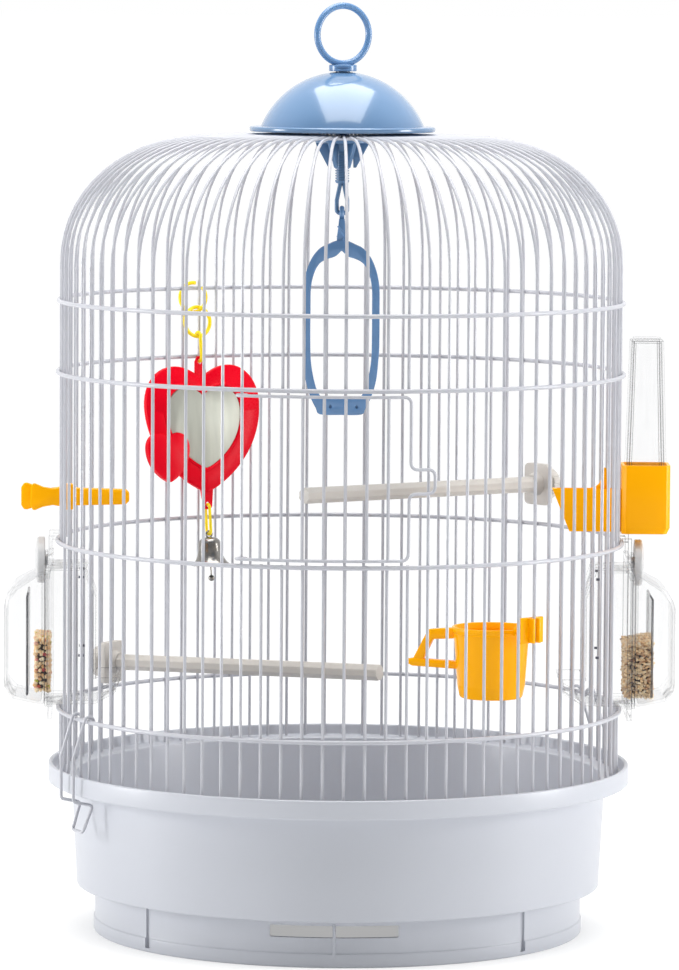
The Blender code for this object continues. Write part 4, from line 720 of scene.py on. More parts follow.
def smooth_line(points: Sequence[Sequence[float]], steps: int = 6, closed: bool = False) -> list[tuple]:
    """Draws a Catmull-Rom curve through points.

    Args:
        points: Points that the curve passes.
        steps: Pieces between two points.
        closed: Whether the curve closes.

    Returns:
        The curve's points.
    """
    given = [Vector(point) for point in points]
    count = len(given)
    spans = count if closed else count - 1
    result = []
    for i in range(spans):
        if closed:
            a, b, c, d = (given[(i + k) % count] for k in (-1, 0, 1, 2))
        else:
            a, b, c, d = (given[min(max(i + k, 0), count - 1)] for k in (-1, 0, 1, 2))
        for step in range(steps):
            t = step / steps
            point = 2 * b + (c - a) * t + (2 * a - 5 * b + 4 * c - d) * t**2 + (3 * b - a - 3 * c + d) * t**3
            result.append(tuple(point / 2))
    if not closed:
        result.append(tuple(given[-1]))
    return result


def moved(shape: Shape, matrix: Matrix) -> Shape:
    """Moves a shape by a matrix and returns it."""
    bmesh.ops.transform(shape, matrix=matrix, verts=shape.verts)
    return shape


def soften(
    shape: Shape, width: float, steps: int = 2, limit: float = 32.0, mark: bool = False
) -> Shape:
    """Bevels the edges that turn by more than a limit.

    Args:
        shape: The shape.
        width: The bevel's width.
        steps: Its segments.
        limit: The limit in degrees.
        mark: Whether the bevelled faces are marked in the edge attribute.

    Returns:
        The same shape.
    """
    marks = shape.loops.layers.float.new("edge") if mark else None
    edges = [
        edge
        for edge in shape.edges
        if len(edge.link_faces) == 2 and edge.calc_face_angle(0.0) > math.radians(limit)
    ]
    grown = bmesh.ops.bevel(
        shape,
        geom=edges,
        offset=width,
        offset_type="OFFSET",
        segments=steps,
        profile=0.5,
        affect="EDGES",
        clamp_overlap=True,
        material=-1,
    )
    for face in grown["faces"] if mark else ():
        for loop in face.loops:
            loop[marks] = 1.0
    return shape


def turned(profile: Sequence[Sequence[float]], segments: int = 64) -> Shape:
    """Spins a profile of (radius, height) points about Z.

    Args:
        profile: It ends on the axis, or it is closed on itself.
        segments: Steps round the axis.

    Returns:
        The turned shape.
    """
    shape = bmesh.new()
    points = [shape.verts.new((radius, 0.0, height)) for radius, height in profile]
    edges = [shape.edges.new(pair) for pair in zip(points, points[1:])]
    if profile[0][0] > 0.0:
        edges.append(shape.edges.new((points[-1], points[0])))
    bmesh.ops.spin(
        shape,
        geom=points + edges,
        axis=(0.0, 0.0, 1.0),
        cent=(0.0, 0.0, 0.0),
        angle=TAU,
        steps=segments,
        use_merge=True,
    )
    bmesh.ops.remove_doubles(shape, verts=shape.verts, dist=0.000001)
    bmesh.ops.recalc_face_normals(shape, faces=shape.faces)
    return shape


def slab(
    outline: Sequence[Sequence[float]], low: float, high: float, soft: float = 0.0, steps: int = 2
) -> Shape:
    """Extrudes an outline of (x, z) points along Y.

    Args:
        outline: The closed outline.
        low: The first depth.
        high: The last depth.
        soft: Width of the bevel along its edges.
        steps: Segments of the bevel.

    Returns:
        The extruded shape.
    """
    shape = bmesh.new()
    face = shape.faces.new([shape.verts.new((x, low, z)) for x, z in outline])
    grown = bmesh.ops.extrude_face_region(shape, geom=[face])
    fresh = [item for item in grown["geom"] if isinstance(item, bmesh.types.BMVert)]
    bmesh.ops.translate(shape, vec=(0.0, high - low, 0.0), verts=fresh)
    bmesh.ops.recalc_face_normals(shape, faces=shape.faces)
    return soften(shape, soft, steps) if soft else shape


def block(low: Sequence[float], high: Sequence[float], soft: float = 0.0) -> Shape:
    """Makes a box between two corners, with softened edges."""
    outline = [(low[0], low[2]), (high[0], low[2]), (high[0], high[2]), (low[0], high[2])]
    return slab(outline, low[1], high[1], soft)


def bar(radius: float, start: Sequence[float], end: Sequence[float], segments: int = 24) -> Shape:
    """Makes a round bar between two points.

    Args:
        radius: Its radius.
        start: The middle of one end.
        end: The middle of the other end.
        segments: Its sides.

    Returns:
        The bar.
    """
    first, last = Vector(start), Vector(end)
    shape = bmesh.new()
    bmesh.ops.create_cone(
        shape, cap_ends=True, segments=segments, radius1=radius, radius2=radius, depth=(last - first).length
    )
    turn = (last - first).to_track_quat("Z", "Y").to_matrix().to_4x4()
    return moved(shape, Matrix.Translation((first + last) / 2) @ turn)


def draw_wire(
    path: Sequence[Sequence[float]],
    radius: float,
    normal: Sequence[float],
    closed: bool = False,
    sides: int = 8,
    shape: Shape | None = None,
) -> Shape:
    """Draws a round wire along a path, ring by ring.

    Args:
        path: Its centreline.
        radius: Its radius.
        normal: A direction across the start.
        closed: Whether it joins its own start.
        sides: Its sides.
        shape: The shape it is added to.

    Returns:
        The shape.
    """
    shape = shape or bmesh.new()
    points = [Vector(point) for point in path]
    count = len(points)
    across = Vector(normal)
    frames = []
    for i, point in enumerate(points):
        before = points[i - 1] if i or closed else point
        after = points[(i + 1) % count] if i + 1 < count or closed else point
        along = ((after - point).normalized() + (point - before).normalized()).normalized()
        across = (across - across.dot(along) * along).normalized()
        turn = Matrix((across, along.cross(across), along)).transposed().to_4x4()
        frames.append(Matrix.Translation(point) @ turn)
    made = bmesh.ops.create_circle(
        shape, cap_ends=not closed, segments=sides, radius=radius, matrix=frames[0]
    )
    ring = list({edge for vert in made["verts"] for edge in vert.link_edges})
    first = ring
    for last_frame, frame in zip(frames, frames[1:]):
        grown = bmesh.ops.extrude_edge_only(shape, edges=ring)["geom"]
        verts = {item for item in grown if isinstance(item, bmesh.types.BMVert)}
        bmesh.ops.transform(shape, matrix=frame @ last_frame.inverted(), verts=list(verts))
        ring = [e for e in grown if isinstance(e, bmesh.types.BMEdge) and set(e.verts) <= verts]
    if closed:
        bmesh.ops.bridge_loops(shape, edges=first + ring)
    else:
        bmesh.ops.holes_fill(shape, edges=ring, sides=sides)
    return shape


def fused(*shapes: Shape, how: Join = Join.UNITE) -> Shape:
    """Joins closed shapes, one after the other, to the first.

    Args:
        *shapes: The shapes, which are used up.
        how: The way they are joined.

    Returns:
        The result.
    """
    whole = shapes[0]
    for tool in shapes[1:]:
        operands = []
        for shape in (whole, tool):
            bmesh.ops.recalc_face_normals(shape, faces=shape.faces)
            mesh = bpy.data.meshes.new("operand")
            shape.to_mesh(mesh)
            shape.free()
            operand = bpy.data.objects.new("operand", mesh)
            bpy.context.collection.objects.link(operand)
            operands.append(operand)
        step = operands[0].modifiers.new("step", "BOOLEAN")
        step.operation = how.value
        step.solver = "EXACT"
        step.object = operands[1]
        whole = bmesh.new()
        whole.from_object(operands[0], bpy.context.evaluated_depsgraph_get())
        for operand in operands:
            mesh = operand.data
            bpy.data.objects.remove(operand, do_unlink=True)
            bpy.data.meshes.remove(mesh)
        if not whole.faces:
            LOG.warning("%s left nothing", how.name)
    return whole


def together(*shapes: Shape) -> Shape:
    """Gathers shapes in one, as they are.

    Args:
        *shapes: The shapes, which are used up.

    Returns:
        One shape that holds them all.
    """
    whole = shapes[0]
    for shape in shapes[1:]:
        mesh = bpy.data.meshes.new("part")
        shape.to_mesh(mesh)
        shape.free()
        whole.from_mesh(mesh)
        bpy.data.meshes.remove(mesh)
    return whole


@dataclass
class Workshop:
    """Hands finished pieces to the frame."""

    nodes: dict[str, bpy.types.Object]
    node_body: dict[str, str]

    def deliver(
        self,
        name: str,
        shape: Shape,
        finish: Finish,
        nodes: Sequence[str] = (),
        body: str = "",
        sharp: float = 40.0,
    ) -> bpy.types.Object:
        """Makes a piece's object, dresses it and sets it on its body.

        Args:
            name: The piece's name.
            shape: Its mesh in the row frame.
            finish: Its finish.
            nodes: The CAD nodes it stands for.
            body: Its body, by default that of the first node.
            sharp: Angle in degrees above which an edge stays sharp.

        Returns:
            The piece.
        """
        mesh = bpy.data.meshes.new(name)
        shape.to_mesh(mesh)
        shape.free()
        mesh.shade_smooth()
        mesh.set_sharp_from_angle(angle=math.radians(sharp))
        mesh.materials.append(finish.material())
        piece = bpy.data.objects.new(name, mesh)
        bpy.context.collection.objects.link(piece)
        carrier = body or self.node_body[nodes[0]]
        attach(piece, carrier)
        if nodes:
            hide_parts(*nodes)
        LOG.info("%s: %d faces, on %s", name, len(mesh.polygons), carrier)
        return piece

    def copy_of(self, node: str, soft: float, steps: int = 2, mark: bool = False) -> Shape:
        """Returns a merged and softened copy of a CAD node.

        Args:
            node: The node.
            soft: Width of the bevel along its edges.
            steps: Segments of the bevel.
            mark: Whether the bevelled faces are marked in the edge attribute.

        Returns:
            The copy.
        """
        shape = bmesh.new()
        shape.from_mesh(self.nodes[node].data)
        bmesh.ops.remove_doubles(shape, verts=shape.verts, dist=0.000002)
        bmesh.ops.dissolve_limit(
            shape, angle_limit=math.radians(1.0), verts=shape.verts, edges=shape.edges, delimit=set()
        )
        return soften(shape, soft, steps, mark=mark) if soft else shape


# Sub-assemblies


@dataclass
class Tray:
    """The deep tray with its rolled rim, foot, grip slots and mould slits."""

    rim_radius: float = 0.1635
    rim_top: float = 0.0950
    rim_bottom: float = 0.0840
    groove_floor: float = 0.0888
    tub_top: float = 0.1500
    tub_low: float = 0.1473
    tub_bottom: float = 0.0262
    foot_radius: float = 0.1370
    foot_inside: float = 0.1344
    wall: float = 0.0026
    slot_spans: tuple[tuple[float, float], ...] = ((-0.03485, -0.00085), (0.00085, 0.03485))
    slot_low: float = 0.0164
    slot_high: float = 0.0230
    slit_half: float = 0.0021
    slit_turns: tuple[float, ...] = (-48.5, 48.5, 131.5, 228.5)
    rib_half: float = 0.00085
    turn: float = math.radians(-0.7)

    def profile(self) -> Outline:
        """Draws the tray's section, from the axis under the floor to the axis over it.

        Returns:
            The points.
        """
        rim, wall = self.rim_radius, self.wall
        corners = [
            (0.0, self.tub_bottom),
            (self.foot_inside, self.tub_bottom),
            (self.foot_inside, 0.0),
            (self.foot_radius + 0.0007, 0.0),
            (self.foot_radius + 0.0007, 0.0075),
            (self.foot_radius, 0.0080),
            (self.foot_radius, self.tub_bottom - 0.0002),
            (self.tub_low, self.tub_bottom + 0.0001),
            (self.tub_low + 0.0001, self.tub_bottom + 0.0040),
            (self.tub_top - 0.0001, self.rim_bottom - 0.0060),
            (self.tub_top, self.rim_bottom),
            (rim - 0.0016, self.rim_bottom),
            (rim - 0.0016, self.rim_bottom + 0.0006),
            (rim, self.rim_bottom + 0.0006),
            (rim - 0.0001, self.rim_top),
            (rim - 0.0024, self.rim_top),
            (rim - 0.0032, self.groove_floor),
            (self.tub_top - wall, self.groove_floor),
            (self.tub_low - wall, self.tub_bottom + wall),
            (0.0, self.tub_bottom + wall),
        ]
        return eased(corners, 0.0011, steps=4)

    def slots(self) -> list[Shape]:
        """Makes the cutters of the grip slots and of the slits.

        Returns:
            The shapes.
        """
        cutters = []
        for facing in (0.0, math.pi):
            for low, high in self.slot_spans:
                slot = block((low, -0.1420, self.slot_low), (high, -0.1150, self.slot_high), 0.0006)
                cutters.append(moved(slot, Matrix.Rotation(facing, 4, "Z")))
        for turn in self.slit_turns:
            slit = block((-self.slit_half, -0.1410, 0.0022), (self.slit_half, -0.1358, 0.0250), 0.0004)
            cutters.append(moved(slit, Matrix.Rotation(math.radians(turn), 4, "Z")))
        return cutters

    def ribs(self) -> list[Shape]:
        """Makes the rib between the two slots, at the front and the back.

        Returns:
            The shapes.
        """
        made = []
        for facing in (0.0, math.pi):
            rib = block((-self.rib_half, -0.1378, 0.0050), (self.rib_half, -0.1357, 0.0242), 0.0004)
            made.append(moved(rib, Matrix.Rotation(facing, 4, "Z")))
        return made

    def build(self, shop: Workshop) -> None:
        """Builds the tray.

        Args:
            shop: Takes the pieces.
        """
        shell = fused(turned(self.profile(), 192), *self.slots(), how=Join.CUT)
        shell = fused(shell, *self.ribs())
        moved(shell, Matrix.Rotation(self.turn, 4, "Z"))
        shop.deliver("tray", shell, TRAY_WHITE, ["base_tray"], sharp=32.0)


@dataclass
class WireCage:
    """Vertical wires with their shoulder bend, and the four hoops."""

    ring_radius: float = WALL_RADIUS
    wire: float = WALL_WIRE
    hoop: float = 0.0012
    foot: float = 0.0891
    shoulder_radius: float = 0.0732
    shoulder_start: float = 0.3749
    crown: float = 0.4464
    exponent: float = 2.1
    end_radius: float = 0.0310
    door_wires: range = range(-4, 4)
    feeder_reach: float = 0.0266
    front: tuple[int, int] = (-5, 4)
    left_counts: tuple[int, ...] = (12, 10, 8, 8)
    right_counts: tuple[int, ...] = (12, 10, 9, 8)

    def crown_path(self) -> Outline:
        """Draws the (radius, height) points from the shoulder to the wire's end under the cap.

        Returns:
            The points.
        """
        points = []
        steps = 14
        for i in range(steps + 1):
            angle = math.pi / 2 * i / steps
            across = math.cos(angle) ** (2.0 / self.exponent)
            up = math.sin(angle) ** (2.0 / self.exponent)
            radius = self.shoulder_radius + (self.ring_radius - self.shoulder_radius) * across
            points.append((radius, self.shoulder_start + (self.crown - self.shoulder_start) * up))
        points.append((self.end_radius, self.crown + 0.0010))
        return points

    def runs(self, index: int) -> list[Outline]:
        """Returns the runs of one wire, cut at the door and at the feeders.

        Args:
            index: The wire's number from the front.

        Returns:
            Runs of (radius, height) points.
        """
        foot = (self.ring_radius, self.foot)
        heights, reach = HOOP_HEIGHTS, self.hoop
        angle = abs(wire_angle(index))
        off_feeder = min(abs(angle - abs(wire_angle(side))) for side in (-FEEDER_SHARE, FEEDER_SHARE))
        if index in self.door_wires:
            stub, upper = heights["lower"] + reach, heights["upper"] - reach
        elif off_feeder * self.ring_radius < self.feeder_reach:
            stub, upper = heights["base"] + reach, heights["lower"] - reach
        else:
            return [[foot] + self.crown_path()]
        return [[foot, (self.ring_radius, stub)], [(self.ring_radius, upper)] + self.crown_path()]

    def arc_path(self, radius: float, height: float, low: float, high: float) -> list[Vector]:
        """Returns a hoop's arc between two angles."""
        steps = max(2, round((high - low) / math.radians(2.1)))
        return [on_wall(low + (high - low) * i / steps, radius, height) for i in range(steps + 1)]

    def panel(self, shop: Workshop, name: str, first: int, last: int) -> None:
        """Builds one panel of wires with its arcs of the top and base hoops.

        Args:
            shop: Takes the piece.
            name: The panel's node.
            first: Its first wire.
            last: Its last wire.
        """
        shape = bmesh.new()
        for index in range(first, last + 1):
            angle = wire_angle(index)
            for run in self.runs(index):
                path = [on_wall(angle, radius, height) for radius, height in run]
                draw_wire(path, self.wire, outward(angle), shape=shape)
        half = PITCH / 2
        low, high = wire_angle(first) - half, wire_angle(last) + half
        for place in ("base", "top"):
            path = self.arc_path(WELD_RADIUS, HOOP_HEIGHTS[place], low, high)
            draw_wire(path, self.hoop, outward(low), sides=10, shape=shape)
        shop.deliver(name + "_wires", shape, WIRE_COAT, [name])

    def build(self, shop: Workshop) -> None:
        """Builds the panels and the two free hoops.

        Args:
            shop: Takes the pieces.
        """
        self.panel(shop, "front_panel", *self.front)
        last = self.front[0] - 1
        for number, count in enumerate(self.left_counts, 1):
            self.panel(shop, "left_panel_%d" % number, last - count + 1, last)
            last -= count
        first = self.front[1] + 1
        for number, count in enumerate(self.right_counts, 1):
            self.panel(shop, "right_panel_%d" % number, first, first + count - 1)
            first += count
        for place in ("upper", "lower"):
            path = self.arc_path(FREE_HOOP_RADIUS, HOOP_HEIGHTS[place], 0.0, TAU)[:-1]
            ring = draw_wire(path, self.hoop, outward(0.0), closed=True, sides=10)
            shop.deliver(place + "_hoop_wire", ring, WIRE_COAT, [place + "_hoop"])


@dataclass
class Door:
    """The door's bent frame with its latch loop, knuckles and bars."""

    radius: float = 0.1594
    wire: float = WALL_WIRE
    top: float = 0.3114
    bottom: float = 0.2236
    edge: float = 8.07
    latch_reach: float = 9.25
    latch_top: float = 0.2725
    latch_low: float = 0.2595
    latch_slant: float = 0.0009
    bend: float = 0.0042
    bars: int = 7
    knuckle: float = 0.0027

    def angle(self, share: float) -> float:
        """Returns the angle of a place, in pitches from the hinge wire."""
        return wire_angle(share - 5.0)

    def loop(self, height: float) -> list[Vector]:
        """Returns the loop round the hinge wire, from its free end to the door's run.

        Args:
            height: Height of the middle.

        Returns:
            The loop.
        """
        angle = self.angle(0.0)
        centre = on_wall(angle, WALL_RADIUS, height)
        along = Vector((math.cos(angle), math.sin(angle), 0.0))
        bends = [-math.radians(24.0) * (10 - i) for i in range(11)]
        return [centre + self.knuckle * (math.cos(b) * outward(angle) + math.sin(b) * along) for b in bends]

    def build(self, shop: Workshop) -> None:
        """Builds the door.

        Args:
            shop: Takes the pieces.
        """
        pitch = PITCH * self.radius
        slant = self.latch_slant / pitch
        flat = [(share, self.top) for share in range(1, self.bars + 1)]
        flat += [
            (self.edge, self.top),
            (self.edge, self.latch_top),
            (self.latch_reach, self.latch_top),
            (self.latch_reach, self.latch_low),
            (self.edge - slant, self.latch_low),
            (self.edge - 1.25 * slant, self.bottom),
        ]
        flat += [(share, self.bottom) for share in range(self.bars, 0, -1)]
        run = eased([(share * pitch, height) for share, height in flat], self.bend, steps=6)
        middle = [on_wall(self.angle(along / pitch), self.radius, height) for along, height in run]
        path = self.loop(self.top) + middle + list(reversed(self.loop(self.bottom)))
        shape = draw_wire(path, self.wire, (0.0, 0.0, 1.0), sides=10)
        for number in range(1, self.bars + 1):
            angle = self.angle(number)
            ends = [on_wall(angle, self.radius, height) for height in (self.bottom, self.top)]
            draw_wire(ends, self.wire, outward(angle), shape=shape)
        shop.deliver("door_wires", shape, WIRE_COAT, ["door"])


@dataclass
class BaseClips:
    """The two wire bails that hold the tray to the base hoop."""

    places: tuple[float, float] = (-15.5, 28.0)
    wire: float = WALL_WIRE
    hoop_radius: float = WELD_RADIUS
    hook: float = 0.0030
    half_share: float = 0.72
    bend: float = 0.0022

    def build(self, shop: Workshop) -> None:
        """Builds both bails.

        Args:
            shop: Takes the pieces.
        """
        half = self.half_share * PITCH * self.hoop_radius
        tab = half - 0.0014
        for node, share in zip(("base_clip_front", "base_clip_back"), self.places):
            leg = [(x, -half, z) for x, z in arc((0.0, 0.0), self.hook, math.radians(200.0), 0.0, 12)]
            leg += [(0.0094, -half, -0.0200), (0.0094, -half, -0.0437), (-0.0024, -half, -0.0463)]
            leg += [(0.0030, -tab, -0.0612)]
            path = leg + [(x, -y, z) for x, y, z in reversed(leg)]
            bail = draw_wire(eased(path, self.bend), self.wire, (0.0, 1.0, 0.0), sides=10)
            angle = wire_angle(share)
            middle = on_wall(angle, self.hoop_radius - 0.000225, HOOP_HEIGHTS["base"])
            shop.deliver(node + "_bail", moved(bail, wall_frame(angle, middle)), WIRE_COAT, [node])


@dataclass
class Cap:
    """The domed cap, the washer and the webbed hub under it."""

    ball: float = 0.0495
    top: float = 0.4827
    bore: float = 0.0043
    flange: float = 0.0520
    flange_bottom: float = 0.4493
    mouth: float = 0.0459
    shell: float = 0.0020
    hub_top: float = 0.44487
    hub_radius: float = 0.0152
    webs: int = 6
    web_half: float = 0.0009

    def dome(self) -> Shape:
        """Makes the cap with its flange, open below.

        Returns:
            The shape.
        """
        centre = (0.0, self.top - self.ball)
        base = math.acos(self.mouth / self.ball)
        inner = self.ball - self.shell
        edge = [
            (self.flange - 0.0022, self.flange_bottom + 0.0030),
            (self.flange, self.flange_bottom + 0.0026),
            (self.flange, self.flange_bottom),
            (self.flange - 0.0040, self.flange_bottom),
            (inner * math.cos(base) - 0.0010, self.flange_bottom + 0.0002),
        ]
        profile = arc(centre, self.ball, math.acos(self.bore / self.ball), base + 0.012, 30)
        profile += eased([profile[-1]] + edge, 0.0010)[1:]
        profile += arc(centre, inner, base + 0.03, math.acos(self.bore / inner), 20)
        return turned(profile, 128)

    def hub(self) -> Shape:
        """Makes the hub: a plate, a short socket and webs that stand clear of the stem.

        Returns:
            The shape.
        """
        top = self.hub_top
        section = [
            (self.bore, top),
            (self.hub_radius, top),
            (self.hub_radius, top - 0.0018),
            (0.0066, top - 0.0022),
            (0.0062, top - 0.0052),
            (self.bore, top - 0.0052),
        ]
        web = [
            (0.0050, top - 0.0010),
            (0.0148, top - 0.0010),
            (0.0148, top - 0.0026),
            (0.0078, top - 0.0157),
            (0.0062, top - 0.0157),
            (0.0058, top - 0.0060),
            (0.0050, top - 0.0046),
        ]
        parts = [turned(eased(section, 0.0004, closed=True), 48)]
        for number in range(self.webs):
            blade = slab(web, -self.web_half, self.web_half, 0.0003)
            parts.append(moved(blade, Matrix.Rotation(TAU * number / self.webs, 4, "Z")))
        return together(*parts)

    def build(self, shop: Workshop) -> None:
        """Builds the cap, the washer and the hub.

        Args:
            shop: Takes the pieces.
        """
        shop.deliver("cap_dome", self.dome(), CAP_BLUE, ["cap"])
        low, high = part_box("clamp_washer")
        rim = high.x - 0.0001
        section = [(self.bore, low.z), (rim, low.z), (rim, high.z), (self.bore, high.z)]
        washer = turned(eased(section, 0.0004, closed=True), 96)
        shop.deliver("washer", washer, WASHER_WHITE, ["clamp_washer"])
        # The hub's darker blue is painted shade.
        shop.deliver("hub", self.hub(), SHADED_HUB_BLUE, ["hub_nut"])


@dataclass
class Handle:
    """The carrying ring with its collar, and the threaded stem with its eye."""

    turn: float = math.radians(27.0)
    collar: float = 0.0078
    bottom: float = 0.4830
    band: float = 0.00185
    outer: float = 0.01795
    stem: float = 0.0040
    stem_top: float = 0.4853
    stem_bottom: float = 0.4205
    ribs_top: float = 0.4380
    ribs: int = 12
    eye_wire: float = 0.0012
    eye_half: float = 0.0029

    def ring(self) -> Shape:
        """Makes the ring on its collar, with the collar's recess and a gate mark on top.

        Returns:
            The shape.
        """
        top = self.bottom + 0.0036
        section = [
            (0.0, self.bottom + 0.0026),
            (0.0040, self.bottom + 0.0026),
            (0.0043, self.bottom),
            (self.collar, self.bottom),
            (self.collar, top),
            (0.0, top + 0.0003),
        ]
        collar = turned(eased(section, 0.0005), 64)
        low, high = (-0.0062, -0.0100, self.bottom + 0.0011), (0.0062, -0.0068, self.bottom + 0.0026)
        recess = block(low, high, 0.0004)
        collar = fused(collar, moved(recess, Matrix.Rotation(-self.turn, 4, "Z")), how=Join.CUT)
        middle = self.outer - self.band
        centre = (0.0, top + self.outer - 0.0012)
        path = [(x, 0.0, z) for x, z in arc(centre, middle, 0.0, TAU, 64)[:-1]]
        loop = draw_wire(path, self.band, (0.0, 1.0, 0.0), closed=True, sides=20)
        whole = fused(collar, loop)
        crest = centre[1] + middle
        gate = bar(0.0007, (0.0, -0.0024, crest), (0.0, -0.00168, crest), 12)
        return moved(fused(whole, gate, how=Join.CUT), Matrix.Rotation(self.turn, 4, "Z"))

    def hanger(self) -> Shape:
        """Makes the stem with its ribs and its pinched eye.

        Returns:
            The shape.
        """
        section = [(0.0, self.stem_top), (self.stem, self.stem_top), (self.stem, self.ribs_top + 0.0005)]
        pitch = 0.0165 / self.ribs
        for rib in range(self.ribs):
            height = self.ribs_top - rib * pitch
            section += [
                (self.stem - 0.0008, height),
                (self.stem - 0.0008, height - 0.40 * pitch),
                (self.stem, height - 0.52 * pitch),
                (self.stem, height - 0.88 * pitch),
            ]
        section += [(self.stem - 0.0006, self.stem_bottom), (0.0, self.stem_bottom)]
        shank = turned(section, 32)
        wire, half = self.eye_wire, self.eye_half
        side = [
            (-wire, 0.0, self.stem_bottom + wire),
            (-wire, 0.0, self.stem_bottom - wire),
            (-half, 0.0, self.stem_bottom - 0.0095),
            (-half, 0.0, EYE_BAR + wire),
            (-half * 0.55, 0.0, EYE_BAR),
        ]
        path = eased(side + [(-x, y, z) for x, y, z in reversed(side)], 0.0020, closed=True)
        return fused(shank, draw_wire(path, wire, (0.0, 1.0, 0.0), closed=True, sides=12))

    def build(self, shop: Workshop) -> None:
        """Builds the ring and the stem."""
        shop.deliver("carrying_ring", self.ring(), SWING_BLUE, ["handle_ring"])
        # The stem's darker blue is painted shade.
        shop.deliver("stem_with_eye", self.hanger(), SHADED_HUB_BLUE, ["hanger_stem"])


@dataclass
class Swing:
    """The swing: waved strap with a notch at its top, bar, twisted neck and hook."""

    depth: float = 0.0035
    bar_low: float = 0.2906
    neck_foot: float = 0.3826
    neck_top: float = 0.4008
    hook_wire: float = 0.0014

    def outer(self) -> Outline:
        """Draws the right half of the strap's outside, from its top.

        Returns:
            The points.
        """
        top = [(0.0, 0.3888), (0.0040, 0.3880), (0.0080, 0.3862), (0.0122, 0.3840), (0.0164, 0.3790)]
        side = [(0.0196, 0.3715), (0.0213, 0.3625), (0.0215, 0.3500), (0.0215, 0.3300), (0.0209, 0.3200)]
        foot = [(0.0198, 0.3100), (0.0172, 0.3010), (0.0140, 0.2944)]
        return top + side + foot + [(0.0116, self.bar_low + 0.0003), (0.0, self.bar_low)]

    def inner(self) -> Outline:
        """Draws the right half of the strap's inside, from its notch.

        Returns:
            The points.
        """
        top = [(0.0, 0.3829), (0.0035, 0.3796), (0.0080, 0.3781), (0.0122, 0.3756), (0.0152, 0.3703)]
        side = [(0.0170, 0.3621), (0.0172, 0.3500), (0.0172, 0.3300), (0.0166, 0.3185)]
        foot = [(0.0144, 0.3075), (0.0122, 0.3022), (0.0098, 0.3004), (0.0, 0.3001)]
        return top + side + foot

    def filled(self, half: Outline, reach: float) -> Shape:
        """Returns the slab inside a mirrored outline."""
        right = smooth_line(half, 4)
        return slab(right + [(-x, z) for x, z in reversed(right[1:-1])], -reach, reach)

    def neck(self) -> list[Shape]:
        """Makes the flat neck and the two ridges that cross on its face.

        Returns:
            The shapes.
        """
        foot, top = self.neck_foot, self.neck_top
        outline = [(-0.0032, foot), (0.0032, foot), (0.0027, 0.3910), (0.0020, 0.3960), (0.0016, top)]
        parts = [slab(outline + [(-x, z) for x, z in reversed(outline[2:])], -0.0021, 0.0021, 0.0006)]
        for side, low, high in ((-1.0, 0.3835, 0.3905), (1.0, 0.3900, 0.3968)):
            parts.append(bar(0.0009, (side * 0.0022, -0.0022, low), (-side * 0.0019, -0.0022, high), 12))
            parts.append(bar(0.0009, (-side * 0.0022, 0.0022, low), (side * 0.0019, 0.0022, high), 12))
        return parts

    def build(self, shop: Workshop) -> None:
        """Builds the swing.

        Args:
            shop: Takes the pieces.
        """
        frame = fused(self.filled(self.outer(), self.depth), self.filled(self.inner(), 0.01), how=Join.CUT)
        for across in (-0.0057, 0.0089):
            dimple = bar(0.0007, (across, -0.0060, 0.2952), (across, -self.depth + 0.0014, 0.2952), 16)
            frame = fused(frame, dimple, how=Join.CUT)
        soften(frame, 0.0005, 2, 50.0)
        hook_radius = Handle.eye_wire + GAP + self.hook_wire
        bend = arc((0.0, EYE_BAR), hook_radius, math.radians(-112.0), math.radians(205.0), 22)
        hook = draw_wire([(0.0, y, z) for y, z in bend], self.hook_wire, (1.0, 0.0, 0.0), sides=12)
        shop.deliver("swing_frame", together(frame, hook, *self.neck()), SWING_BLUE, ["swing"])


